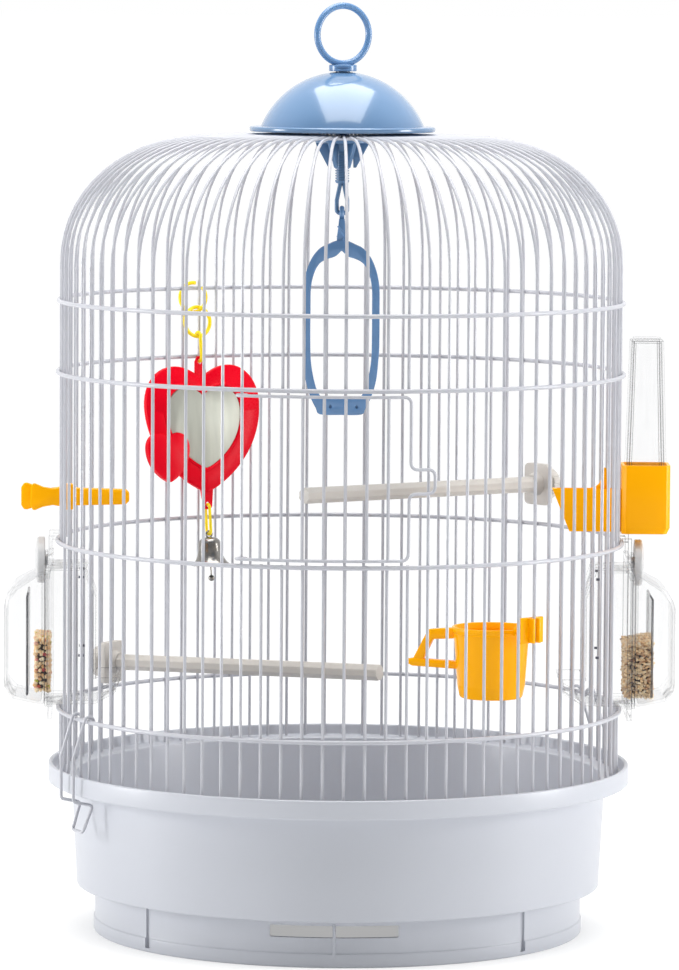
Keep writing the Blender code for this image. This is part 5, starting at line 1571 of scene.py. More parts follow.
@dataclass
class Perch:
    """One perch: ribbed bar, clamp plate and outer nut."""

    level: Level
    share: float
    height: float
    tilt: float
    bar_radius: float = 0.0048
    bar_start: float = -0.0040
    bar_tip: float = -0.1837
    groove_share: float = 0.965
    plate_outer: float = -0.00135
    plate_inner: float = -0.00535
    plate_side: float = 0.0100
    plate_up: float = 0.0120
    nut_radius: float = 0.0088
    nut_bore: float = 0.0029
    nut_thick: float = 0.0050
    flutes: int = 12

    def rod(self) -> Shape:
        """Makes the leaning bar with its eight soft ridges.

        Returns:
            The shape.
        """
        turns = [TAU * (i + 0.5) / 8 for i in range(8)]
        corners = [(self.bar_radius * math.cos(a), self.bar_radius * math.sin(a)) for a in turns]
        ridge = []
        for (x, z), (far_x, far_z) in zip(corners, corners[1:] + corners[:1]):
            ridge += [(x, z), (0.5 * (x + far_x) * self.groove_share, 0.5 * (z + far_z) * self.groove_share)]
        length = self.bar_start - self.bar_tip
        rod = slab(eased(ridge, 0.0006, closed=True, steps=2), 0.0, length, 0.0007, 2)
        lean = Matrix.Rotation(self.tilt, 4, "Y") @ Matrix.Rotation(math.pi / 2, 4, "Z")
        rise = -self.bar_start * math.tan(self.tilt)
        return moved(rod, Matrix.Translation((self.bar_start, 0.0, rise)) @ lean)

    def plate(self) -> list[Shape]:
        """Makes the clamp plate, its boss round the bar and its screw.

        Returns:
            The shapes.
        """
        side, up, inner = self.plate_side, self.plate_up, self.plate_inner
        square = [(-side, -up), (side, -up), (side, up), (-side, up)]
        plate = slab(eased(square, 0.0036, closed=True, steps=6), self.plate_outer, inner, 0.0006)
        moved(plate, Matrix.Rotation(-math.pi / 2, 4, "Z"))
        boss = turned([(0.0, 0.0), (0.0070, 0.0), (0.0056, 0.0042), (0.0, 0.0042)], 40)
        moved(boss, Matrix.Rotation(-math.pi / 2, 4, "Y"))
        moved(boss, Matrix.Translation((inner + 0.0004, 0.0, -inner * math.tan(self.tilt))))
        screw = bar(0.0026, (inner + 0.0005, 0.0, 0.0), (inner + 0.0125, 0.0, 0.0))
        return [plate, boss, screw]

    def nut(self) -> Shape:
        """Makes the fluted nut outside the wires.

        Returns:
            The shape.
        """
        near, far = -self.plate_outer, self.nut_thick - self.plate_outer
        bore, rim = self.nut_bore, self.nut_radius
        section = [(bore, near), (rim, near), (rim, far), (bore, far)]
        nut = turned(eased(section, 0.0009, closed=True), 48)
        groove = self.nut_radius + 0.0003
        for number in range(self.flutes):
            flute = bar(0.0008, (groove, 0.0, 0.0), (groove, 0.0, 0.0080), 10)
            moved(flute, Matrix.Rotation(TAU * number / self.flutes, 4, "Z"))
            nut = fused(nut, flute, how=Join.CUT)
        return moved(nut, Matrix.Rotation(math.pi / 2, 4, "Y"))

    def build(self, shop: Workshop) -> None:
        """Builds the bar with its plate, and the nut.

        Args:
            shop: Takes the pieces.
        """
        tag, angle = self.level.value, wire_angle(self.share)
        frame = wall_frame(angle, on_wall(angle, WALL_RADIUS, self.height))
        plate, boss, screw = self.plate()
        whole = fused(plate, self.rod(), boss, screw)
        shop.deliver("perch_%s_bar" % tag, moved(whole, frame), PERCH_GREY, ["perch_" + tag])
        shop.deliver("perch_%s_nut" % tag, moved(self.nut(), frame), PERCH_GREY, ["perch_nut_" + tag])


# A heart's outline: the powers that round its lobes and its tip, and the waves of its height
LOBE_POWER = 2.3
TIP_POWER = 1.55
HEART_WAVES = (13.0, -3.2, -1.6, -0.4)


def heart(width: float, height: float, points: int = 96) -> Outline:
    """Returns a heart's outline, point down, centred on its own box.

    Args:
        width: Its width.
        height: Its height.
        points: Its points.

    Returns:
        The outline.
    """
    raw = []
    for i in range(points):
        t = TAU * i / points
        power = LOBE_POWER if math.cos(t) > 0.0 else TIP_POWER
        across = math.copysign(abs(math.sin(t)) ** power, math.sin(t))
        up = sum(wave * math.cos(n * t) for n, wave in enumerate(HEART_WAVES, 1))
        raw.append((across, up))
    top, low = max(up for _, up in raw), min(up for _, up in raw)
    return [(width / 2 * x, height * ((up - low) / (top - low) - 0.5)) for x, up in raw]


def shifted(outline: Outline, x: float, z: float) -> Outline:
    """Moves an outline."""
    return [(px + x, pz + z) for px, pz in outline]


@dataclass
class HangingToy:
    """The toy on the top hoop: chain, hook, heart with mirror, and bell."""

    share: float = -35.5
    lean: float = math.radians(6.3)
    ring_turn: float = math.radians(28.0)
    ring_sway: float = math.radians(20.0)
    wire: float = 0.0011
    middle: float = 0.0086
    half: float = 0.0020
    width: float = 0.0785
    height: float = 0.0740
    rounding: float = 0.0012
    mirror: float = 0.0500
    mirror_ratio: float = 0.94
    mirror_rise: float = 0.0008
    # The bead round the mirror: how much wider than the mirror, and how high over the heart's face
    bead: tuple[tuple[float, float], ...] = (
        (0.0052, 0.0),
        (0.0042, 0.0006),
        (0.0026, 0.0009),
        (0.0012, 0.0006),
        (0.0006, 0.0),
        (0.0006, -0.0013),
    )
    small: float = 0.0285
    small_across: float = 0.0265
    small_drop: float = 0.0160
    hook_wire: float = 0.0010
    hook_drop: float = 0.0122
    link_wire: float = 0.0009
    link_drop: float = 0.0132
    web_half: float = 0.0007
    bell_rim: float = 0.0111
    bell_tall: float = 0.0164
    eye_wire: float = 0.0006

    def place(self, offset: Vector, turn: float = math.pi / 2) -> Matrix:
        """Returns the matrix of a part of the toy.

        Args:
            offset: Its origin in the toy's frame.
            turn: Its turn about the toy's upright axis.

        Returns:
            The matrix.
        """
        hoop = on_wall(wire_angle(self.share), WELD_RADIUS, HOOP_HEIGHTS["top"])
        carrier = wall_frame(wire_angle(self.share), hoop) @ Matrix.Rotation(self.lean, 4, "Y")
        return carrier @ Matrix.Translation(offset) @ Matrix.Rotation(turn, 4, "Z")

    def ring(
        self, first: float = 0.0, last: float = TAU, radius: float = 0.0, steps: int = 40
    ) -> list[tuple]:
        """Returns the points of a ring or of a part of it, in the XZ plane.

        Args:
            first: The angle at which it starts.
            last: The angle at which it ends.
            radius: Its radius, by default that of the toy's rings.
            steps: Its pieces.

        Returns:
            The points.
        """
        points = arc((0.0, 0.0), radius or self.middle, first, last, steps)
        if last - first > TAU - 0.0001:
            points = points[:-1]
        return [(x, 0.0, z) for x, z in points]

    def chain(self, shop: Workshop) -> Vector:
        """Builds the two rings and the hook, and returns where the heart hangs.

        Args:
            shop: Takes the pieces.

        Returns:
            The heart's web in the toy's frame.
        """
        tilt, sway = self.ring_turn, self.ring_sway
        level = Vector((-math.cos(tilt), -math.sin(tilt), 0.0))
        aside = level * math.sin(sway) - Vector((0.0, 0.0, math.cos(sway)))
        centre = (self.middle - self.wire - GAP - 0.00135) * aside
        opening = self.ring(math.radians(140.0), math.radians(140.0 + 324.0))
        ring = draw_wire(opening, self.wire, (0.0, 1.0, 0.0), sides=12)
        shop.deliver("toy_top_ring", moved(ring, self.place(centre, tilt)), CHAIN_LEMON, ["toy_ring"])
        centre = centre + (self.middle - 2.0 * self.wire - GAP) * aside - Vector((0.0, 0.0, self.middle))
        link = draw_wire(self.ring(), self.wire, (0.0, 1.0, 0.0), closed=True, sides=12)
        shop.deliver("toy_second_ring", moved(link, self.place(centre)), CHAIN_LEMON, ["toy_link"])
        hang = centre - Vector((0.0, 0.0, self.middle))
        bend = self.wire + GAP + self.hook_wire
        path = self.ring(math.radians(20.0), math.pi, bend, 12)
        low = self.ring(math.pi, math.radians(340.0), bend, 12)
        path += [(x, y, z - self.hook_drop) for x, y, z in low]
        hook = draw_wire(path, self.hook_wire, (0.0, 1.0, 0.0), sides=12)
        shop.deliver("toy_s_hook", moved(hook, self.place(hang, 0.0)), CHAIN_LEMON, ["toy_hook"])
        return hang - Vector((0.0, 0.0, self.hook_drop))

    def lobes(self, size: float, ratio: float, middle: float, depth: float) -> list[tuple]:
        """Returns a heart's outline in space.

        Args:
            size: Its width.
            ratio: Its height in parts of its width.
            middle: Height of its middle.
            depth: Its place along the toy's thickness.

        Returns:
            Its points.
        """
        return [(x, depth, z + middle) for x, z in heart(size, size * ratio)]

    def body(self, middle_z: float) -> Shape:
        """Returns the heart, bridged from ring to ring: rim, raised bead and the mirror's pocket.

        Args:
            middle_z: Height of the heart's middle.

        Returns:
            The closed heart.
        """
        bends = [math.radians(turn) for turn in (15.0, 50.0, 90.0)]
        rim = [(1.0 - math.sin(bend), self.half - self.rounding * (1.0 - math.cos(bend))) for bend in bends]
        rim = [(1.0, -self.half)] + [(less, -depth) for less, depth in rim] + rim[::-1]
        rings = []
        for less, depth in rim:
            size = self.width - 2.0 * self.rounding * less
            rings.append(self.lobes(size, self.height / self.width, middle_z, depth))
        for grow, rise in self.bead:
            size, middle = self.mirror + grow, middle_z + self.mirror_rise
            rings.append(self.lobes(size, self.mirror_ratio, middle, self.half + rise))
        shape = bmesh.new()
        loops = []
        for ring in rings:
            verts = [shape.verts.new(point) for point in ring]
            loops.append([shape.edges.new(pair) for pair in zip(verts, verts[1:] + verts[:1])])
        for one, two in zip(loops, loops[1:]):
            bmesh.ops.bridge_loops(shape, edges=one + two)
        bmesh.ops.holes_fill(shape, edges=loops[0] + loops[-1], sides=len(rings[0]))
        bmesh.ops.recalc_face_normals(shape, faces=shape.faces)
        return shape

    def small_outline(self, width: float, middle_z: float) -> Outline:
        """Returns the small heart's outline in front of the large one."""
        return shifted(heart(width, width, 72), self.small_across, middle_z - self.small_drop)

    def web(self, outline: Outline, hole: float, height: float) -> Shape:
        """Returns a flat web with a round hole."""
        plate = slab(outline, -self.web_half, self.web_half)
        return fused(plate, bar(hole, (0.0, -0.004, height), (0.0, 0.004, height)), how=Join.CUT)

    def build(self, shop: Workshop) -> None:
        """Builds the whole toy.

        Args:
            shop: Takes the pieces.
        """
        web = self.chain(shop)
        bend = self.wire + GAP + self.hook_wire
        middle_z = self.web_half - 0.0055 - self.height / 2
        hole = bend - self.web_half
        wide = hole + 0.0013
        tab = [
            (-wide - 0.0014, -0.0200),
            (wide + 0.0014, -0.0200),
            (wide + 0.0002, -bend),
            (wide / 2, self.web_half),
            (-wide / 2, self.web_half),
            (-wide - 0.0002, -bend),
        ]
        foot = middle_z - self.height / 2 - 0.0100
        tail_hole = self.link_bend() - self.web_half
        narrow = tail_hole + 0.0013
        tail = [
            (-narrow, foot + 0.0013),
            (-narrow / 2, foot),
            (narrow / 2, foot),
            (narrow, foot + 0.0013),
            (narrow + 0.0022, foot + 0.0180),
            (-narrow - 0.0022, foot + 0.0180),
        ]
        badge = slab(self.small_outline(self.small, middle_z), 0.0, self.half + 0.0016)
        soften(badge, 0.0007, 3, 60.0)
        parts = [self.web(tab, hole, -bend), self.web(tail, tail_hole, foot + 0.0014 + tail_hole), badge]
        whole = together(self.body(middle_z), *parts)
        shop.deliver("toy_heart_body", moved(whole, self.place(web)), HEART_RED, ["toy_heart"], sharp=50.0)
        plane = heart(self.mirror, self.mirror * self.mirror_ratio)
        plane = shifted(plane, 0.0, middle_z + self.mirror_rise)
        face = slab(plane, self.half - 0.0010, self.half, 0.0002)
        notch = slab(self.small_outline(self.small + 2.0 * GAP, middle_z), 0.0, 0.010)
        mirror = fused(face, notch, how=Join.CUT)
        shop.deliver("toy_mirror_face", moved(mirror, self.place(web)), MIRROR_FACE, ["toy_mirror"])
        self.bell(shop, web + Vector((0.0, 0.0, foot + self.web_half)))

    def link_bend(self) -> float:
        """Returns the radius of the bell link's bends, round the corners of the tail's web."""
        return math.hypot(2.0 * self.web_half, 2.0 * self.web_half) / 2 + GAP + self.link_wire

    def bell(self, shop: Workshop, tail: Vector) -> None:
        """Builds the link, the bell and its clapper.

        Args:
            shop: Takes the pieces.
            tail: The heart's tail web in the toy's frame.
        """
        reach = self.link_bend()
        path = self.ring(0.0, math.pi, reach, 10)
        path += [(x, y, z - self.link_drop) for x, y, z in self.ring(math.pi, TAU - 0.001, reach, 10)]
        link = draw_wire(path, self.link_wire, (0.0, 1.0, 0.0), closed=True, sides=12)
        shop.deliver("bell_chain_link", moved(link, self.place(tail, 0.0)), CHAIN_LEMON, ["bell_link"])
        loop = self.link_wire + GAP + 0.0007
        crown = -loop + 0.00035
        rim, tall = self.bell_rim, self.bell_tall
        drops = (0.0, 0.0004, 0.0022, 0.0050, 0.0085, 0.0115, 0.0138, 0.0152, 0.0160, tall)
        radii = (0.0, 0.0036, 0.0060, 0.0066, 0.0070, 0.0078, 0.0090, 0.0102, rim, rim)
        outside = smooth_line([(r, crown - d) for r, d in zip(radii, drops)], 3)
        inside = [(max(r - 0.0009, 0.0), z - 0.0009) for r, z in outside[:-4]]
        cup = turned(outside + [(rim - 0.0009, crown - tall)] + list(reversed(inside)), 64)
        path = self.ring(radius=loop, steps=24)
        eye = draw_wire(path, self.eye_wire, (0.0, 1.0, 0.0), closed=True, sides=10)
        pin_z = crown - 0.0045
        pin = bar(0.0006, (-0.0058, 0.0, pin_z), (0.0058, 0.0, pin_z), 12)
        whole = together(cup, moved(eye, Matrix.Rotation(math.pi / 2, 4, "Z")), pin)
        foot = tail - Vector((0.0, 0.0, self.link_drop + reach))
        shop.deliver("bell_cup", moved(whole, self.place(foot, 0.0)), BELL_NICKEL, ["bell"])
        clapper_eye = 0.0014
        path = self.ring(radius=clapper_eye, steps=20)
        ring = draw_wire(path, 0.0005, (0.0, 1.0, 0.0), closed=True)
        moved(ring, Matrix.Rotation(math.pi / 2, 4, "Z"))
        shank = bar(0.0005, (0.0, 0.0, -clapper_eye), (0.0, 0.0, -0.0195), 12)
        turns = [math.pi * i / 12 for i in range(13)]
        ball = turned([(0.0018 * math.sin(a), -0.0195 - 0.0018 * math.cos(a)) for a in turns], 24)
        low = foot + Vector((0.0, 0.0, pin_z))
        rod = moved(together(ring, shank, ball), self.place(low, 0.0))
        shop.deliver("bell_clapper_rod", rod, BELL_NICKEL, ["bell_clapper"])


@dataclass
class PegClip:
    """The yellow peg that grips the left wall: two halves side by side."""

    share: float = -FEEDER_SHARE
    height: float = 0.2440
    half: float = 0.0043
    split: float = 0.00015
    shorter: float = 0.76

    def outline(self) -> list[tuple]:
        """Draws the side view: flared tail, waist, bulge at the wall and prongs.

        Returns:
            The points.
        """
        edge = [
            (0.0224, 0.0050),
            (0.0208, 0.0074),
            (0.0190, 0.0075),
            (0.0132, 0.0056),
            (0.0060, 0.0046),
            (0.0012, 0.0052),
            (-0.0030, 0.0072),
            (-0.0062, 0.0073),
            (-0.0084, 0.0048),
            (-0.0363, 0.0041),
            (-0.0383, 0.0022),
        ]
        return eased(edge + [(x, -z) for x, z in reversed(edge)], 0.0016, closed=True, steps=3)

    def build(self, shop: Workshop) -> None:
        """Builds both halves; the near one has the shorter tail.

        Args:
            shop: Takes the pieces.
        """
        angle = wire_angle(self.share)
        frame = wall_frame(angle, on_wall(angle, WALL_RADIUS, self.height))
        for node, low, high, share in (
            ("peg_body", -self.half, -self.split, 1.0),
            ("peg_jaw", self.split, self.half, self.shorter),
        ):
            shape = slab(self.outline(), low, high)
            for vert in shape.verts:
                vert.co.x *= share if vert.co.x > 0.0 else 1.0
            soften(shape, 0.0007, 2)
            shop.deliver(node + "_half", moved(shape, frame), CLIP_YELLOW, [node])


@dataclass
class Feeder:
    """One feeder: frame, hopper through the wall, knob, painted shadows in the frame's catch slots, and
    seed.
    """

    side: Side
    share: float
    seed: SeedCoat
    husk: tuple[float, float, float]
    heap_low: tuple[float, float, float]
    heap_high: tuple[float, float, float]
    slope: float
    face: float = 0.16399
    lug: float = 0.0014
    knob_height: float = 0.2083
    knob_radius: float = 0.0130
    knob_ribs: int = 7
    rib_half: float = 0.0005
    hood_end: float = 0.1656
    bin_end: float = 0.1882
    bin_half: float = 0.0278
    bin_wall: float = 0.0014
    mark: float = 0.0005

    def frame(self) -> Matrix:
        """Returns the feeder's frame."""
        return wall_frame(wire_angle(self.share))

    def knob(self) -> Shape:
        """Makes the lens-shaped white knob with its ribs towards the cage.

        Returns:
            The shape.
        """
        start, radius = self.face + self.lug + GAP, self.knob_radius
        section = [
            (0.0, start + 0.0055),
            (0.0062, start + 0.0053),
            (0.0106, start + 0.0049),
            (radius - 0.0003, start + 0.0041),
            (radius, start + 0.0032),
            (radius, start),
            (radius - 0.0014, start),
            (radius - 0.0018, start + 0.0022),
            (0.0034, start + 0.0032),
            (0.0030, self.face),
            (0.0, self.face),
        ]
        parts = [moved(turned(eased(section, 0.0007), 72), Matrix.Rotation(math.pi / 2, 4, "Y"))]
        for number in range(self.knob_ribs):
            across = (number - self.knob_ribs // 2) * 0.0031
            tall = math.sqrt((radius - 0.0013) ** 2 - across**2)
            inner = 0.0032 if abs(across) < 0.0035 else 0.0
            for low_z, high_z in ((-tall, -inner), (inner, tall)):
                low = (start + 0.0002, across - self.rib_half, low_z)
                high = (start + 0.0030, across + self.rib_half, high_z)
                parts.append(block(low, high, 0.0002))
        return together(*parts)

    def build(self, shop: Workshop) -> None:
        """Builds the feeder.

        Args:
            shop: Takes the pieces.
        """
        tag = self.side.value
        frame = shop.copy_of("feeder_frame_" + tag, self.mark, 1, mark=True)
        shop.deliver("feeder_frame_%s_clear" % tag, frame, FEEDER_CLEAR, ["feeder_frame_" + tag])
        outside = moved(block((self.hood_end, -0.0400, 0.1200), (0.2100, 0.0400, 0.2040)), self.frame())
        hood = fused(shop.copy_of("feeder_hopper_" + tag, 0.0), outside, how=Join.CUT)
        soften(hood, self.mark, 1, mark=True)
        shop.deliver("feeder_hood_%s_clear" % tag, hood, FEEDER_CLEAR, ["feeder_hopper_" + tag])
        for name, shape in (("bin", self.outer_bin()), ("partition", self.partition())):
            moved(soften(shape, self.mark + 0.0001, 1, mark=True), self.frame())
            shop.deliver("feeder_%s_%s_clear" % (name, tag), shape, FEEDER_CLEAR, body="hopper_" + tag)
        knob = moved(self.knob(), self.frame() @ Matrix.Translation((0.0, 0.0, self.knob_height)))
        shop.deliver("feeder_knob_%s_ribbed" % tag, knob, KNOB_WHITE, ["feeder_knob_" + tag])
        # Dark blocks of painted shadow in the catch slots of the frame.
        shop.deliver("feeder_catches_" + tag, self.catch_shadows(), CATCH_SHADOW_GREY, body="hopper_" + tag)
        self.seeds(shop)

    def outer_bin(self) -> Shape:
        """Makes the outer bin: a thin shell with a slanted top and a rounded outer end.

        Returns:
            The shape.
        """
        corners = [
            (self.hood_end, 0.2030),
            (0.1680, 0.2028),
            (0.1818, 0.1956),
            (0.1870, 0.1885),
            (self.bin_end, 0.1840),
            (self.bin_end, 0.1400),
            (0.1840, 0.1332),
            (0.1690, 0.1302),
            (self.hood_end, 0.1300),
        ]
        middle, wall, reach = (0.1777, 0.1660), self.bin_wall, self.bin_half + 0.0022
        inside = []
        for corner in corners:
            inside.append(tuple(s - math.copysign(wall, s - m) for s, m in zip(corner, middle)))
        outer = slab(eased(corners, 0.0050, closed=True, steps=5), -reach, reach)
        inner = slab(eased(inside, 0.0042, closed=True, steps=5), -reach, reach)
        return fused(self.plan(outer, 0.0), self.plan(inner, wall), how=Join.CUT)

    def plan(self, shape: Shape, inset: float) -> Shape:
        """Cuts a shape to the bin's plan with its two rounded outer corners.

        Args:
            shape: The shape; it is used up.
            inset: How far inside the plan.

        Returns:
            The cut shape.
        """
        side, end = self.bin_half - inset, self.bin_end - inset
        edge = [(0.1600, -side), (end, -side), (end, side), (0.1600, side)]
        column = slab(eased(edge, 0.0075, closed=True, steps=6), 0.1200, 0.2100)
        moved(column, Matrix.Rotation(math.pi / 2, 4, "X"))
        return fused(shape, column, how=Join.OVERLAP)

    def partition(self) -> Shape:
        """Returns the plate between the bin's two chambers."""
        return block((0.1744, -0.0262, 0.1345), (0.1757, 0.0262, 0.1905))

    def catch_shadows(self) -> Shape:
        """Makes four small dark blocks on the sides of the hood: painted shadow in the slots of the frame's
        catch clips.

        Returns:
            The shape.
        """
        parts = []
        for across in (-0.0243, 0.0243):
            for height in (0.1570, 0.2010):
                low = (0.1434, across - 0.0006, height - 0.0007)
                high = (0.1466, across + 0.0006, height + 0.0007)
                parts.append(block(low, high, 0.0002))
        return moved(together(*parts), self.frame())

    def husks(self, draw: random.Random) -> Iterable[Vector]:
        """Returns the places of the husks, in even rows over the faces of the heap.

        Args:
            draw: The source of chance.

        Returns:
            Places in the feeder's frame.
        """
        low, high = Vector(self.heap_low), Vector(self.heap_high)
        pitch = self.husk[1] * 0.86
        inset = self.husk[2] * 0.55
        spans = [max(1, round((high[i] - low[i]) / pitch)) for i in range(3)]
        places = []
        for fixed in range(3):
            one, two = (i for i in range(3) if i != fixed)
            for end in (low[fixed] + inset, high[fixed] - inset):
                if fixed == 2 and end < high.z - 2.0 * inset:
                    continue
                for i in range(spans[one]):
                    for j in range(spans[two]):
                        spot = Vector((0.0, 0.0, 0.0))
                        spot[fixed] = end + draw.uniform(-0.3, 0.3) * inset
                        for axis, number in ((one, i), (two, j)):
                            along = number + 0.5 + draw.uniform(-0.35, 0.35)
                            spot[axis] = low[axis] + along * (high[axis] - low[axis]) / spans[axis]
                        places.append(spot)
        return places

    def seeds(self, shop: Workshop) -> None:
        """Builds the heap of seed: a dark core, painted shade in the gaps between the husks, and husks all
        over it.

        Args:
            shop: Takes the piece.
        """
        low, high = Vector(self.heap_low), Vector(self.heap_high)
        draw = random.Random(11 if self.side is Side.LEFT else 12)
        inset = Vector((1.0, 1.0, 1.0)) * self.husk[2] * 0.75
        core = block(low + inset, high - inset - Vector((0.0, 0.0, self.slope)), 0.0008)
        # The core keeps tint 0, the darkest stop: painted shade in the gaps between the husks.
        tints = core.verts.layers.float.new("tint")
        long, wide, thick = self.husk
        for spot in self.husks(draw):
            rise = (spot.x - low.x) / (high.x - low.x)
            spot.z = min(spot.z, high.z - thick * 0.5 - self.slope * (1.0 - rise))
            made = bmesh.ops.create_icosphere(core, subdivisions=1, radius=0.5)
            turn = Matrix.Rotation(draw.uniform(0.0, TAU), 4, "Z")
            for axis in "XY":
                turn = turn @ Matrix.Rotation(draw.uniform(-0.9, 0.9), 4, axis)
            size = draw.uniform(0.85, 1.12)
            scale = Matrix.Diagonal((long * size, wide * size, thick * size, 1.0))
            bmesh.ops.transform(core, matrix=Matrix.Translation(spot) @ turn @ scale, verts=made["verts"])
            tint = draw.uniform(0.12, 1.0)
            for vert in made["verts"]:
                vert[tints] = tint
        moved(core, self.frame())
        tag = self.side.value
        shop.deliver("feeder_%s_seed_heap" % tag, core, self.seed, ["feeder_seeds_" + tag], sharp=80.0)


@dataclass
class Drinker:
    """The drinker: yellow base with its beak and catch, and the clear tapered tank."""

    share: float = FEEDER_SHARE
    beak_top: float = 0.2500

    def catch(self) -> Shape:
        """Makes the web that sweeps up from the beak to the catch behind the wires.

        Returns:
            The shape.
        """
        top = self.beak_top
        sweep = [
            (0.1404, top - 0.0010),
            (0.1408, top + 0.0004),
            (0.1436, top + 0.0010),
            (0.1458, top + 0.0030),
            (0.1470, top + 0.0062),
            (0.1474, top + 0.0112),
            (0.1480, top + 0.0118),
            (0.1492, top + 0.0118),
            (0.1496, top + 0.0112),
            (0.1500, top - 0.0010),
        ]
        return slab(eased(sweep, 0.0010, closed=True, steps=3), -0.0015, 0.0015, 0.0004)

    def build(self, shop: Workshop) -> None:
        """Builds the base and the tank.

        Args:
            shop: Takes the pieces.
        """
        frame = wall_frame(wire_angle(self.share))
        plain = block((0.1360, -0.0100, self.beak_top + 0.00005), (0.1520, 0.0100, 0.2700))
        base = fused(shop.copy_of("drinker_base", 0.0), moved(plain, frame), how=Join.CUT)
        soften(base, 0.0003, 2)
        whole = together(base, moved(self.catch(), frame))
        shop.deliver("drinker_base_cup", whole, CLIP_YELLOW, ["drinker_base"])
        tank = shop.copy_of("drinker_tank", 0.0003, 1, mark=True)
        shop.deliver("drinker_tank_clear", tank, TANK_CLEAR, ["drinker_tank"])


@dataclass
class TreatCup:
    """The treat cup with its small perch and the comb that grips the wires."""

    share: float = 10.0
    centre: float = 0.1236
    rim_height: float = 0.1818
    rim: float = 0.0218
    depth: float = 0.0392
    wall: float = 0.0014
    arm: tuple[tuple[float, float], ...] = (
        (0.0195, -0.0012),
        (0.0352, -0.0026),
        (0.0444, -0.0204),
        (0.0386, -0.0204),
        (0.0325, -0.0080),
        (0.0195, -0.0072),
    )
    rail: tuple[tuple[float, float], ...] = (
        (0.0180, -0.0240),
        (0.0440, -0.0230),
        (0.0475, -0.0214),
        (0.0475, -0.0194),
        (0.0440, -0.0188),
        (0.0180, -0.0198),
    )
    handle_turn: float = math.radians(-147.0)

    def cup(self) -> Shape:
        """Makes the cup's shell with its rolled lip.

        Returns:
            The shape.
        """
        floor = -self.depth
        section = [
            (0.0, floor),
            (0.0172, floor),
            (0.0186, floor + 0.0070),
            (0.0207, -0.0036),
            (0.0214, -0.0032),
            (self.rim, -0.0018),
            (self.rim, 0.0),
            (0.0204, 0.0),
            (0.0194, -0.0030),
            (0.0173, floor + 0.0070),
            (0.0160, floor + self.wall),
            (0.0, floor + self.wall),
        ]
        return turned(eased(section, 0.0022, steps=6), 96)

    def handle(self) -> Shape:
        """Makes the slanted arm and the small perch bar.

        Returns:
            The shape.
        """
        upper = slab(eased(self.arm, 0.0016, closed=True), -0.0027, 0.0027, 0.0006)
        lower = slab(eased(self.rail, 0.0010, closed=True), -0.0030, 0.0030, 0.0006)
        return moved(together(upper, lower), Matrix.Rotation(self.handle_turn, 4, "Z"))

    def comb(self) -> list[Shape]:
        """Makes the hanger plate, its arm and the fingers that grip a wire.

        Returns:
            The shapes.
        """
        face = WALL_RADIUS - 0.00105 - GAP - self.centre
        plate = block((face - 0.0020, -0.0085, -0.0065), (face, 0.0085, 0.0076), 0.0004)
        outline = [
            (0.0205, -0.0030),
            (0.0218, -0.0033),
            (face - 0.0010, 0.0036),
            (face - 0.0010, 0.0073),
            (face - 0.0040, 0.0073),
            (0.0205, -0.0003),
        ]
        parts = [plate, slab(outline, -0.0042, 0.0042, 0.0004)]
        for side in (-1.0, 1.0):
            near, far = side * 0.00135, side * 0.00295
            low, high = min(near, far), max(near, far)
            parts.append(block((face - 0.0010, low, -0.0062), (face + 0.0040, high, 0.0073), 0.0003))
        for across in (-0.0070, -0.0045, 0.0045, 0.0070):
            low, high = (face - 0.0028, across - 0.0005, -0.0060), (face - 0.0015, across + 0.0005, 0.0068)
            parts.append(block(low, high, 0.0002))
        return parts

    def build(self, shop: Workshop) -> None:
        """Builds the cup.

        Args:
            shop: Takes the pieces.
        """
        angle = wire_angle(self.share)
        whole = together(self.cup(), self.handle(), *self.comb())
        origin = on_wall(angle, self.centre, self.rim_height)
        shop.deliver("treat_cup_piece", moved(whole, wall_frame(angle, origin)), CUP_YELLOW, ["treat_cup"])


# Studio


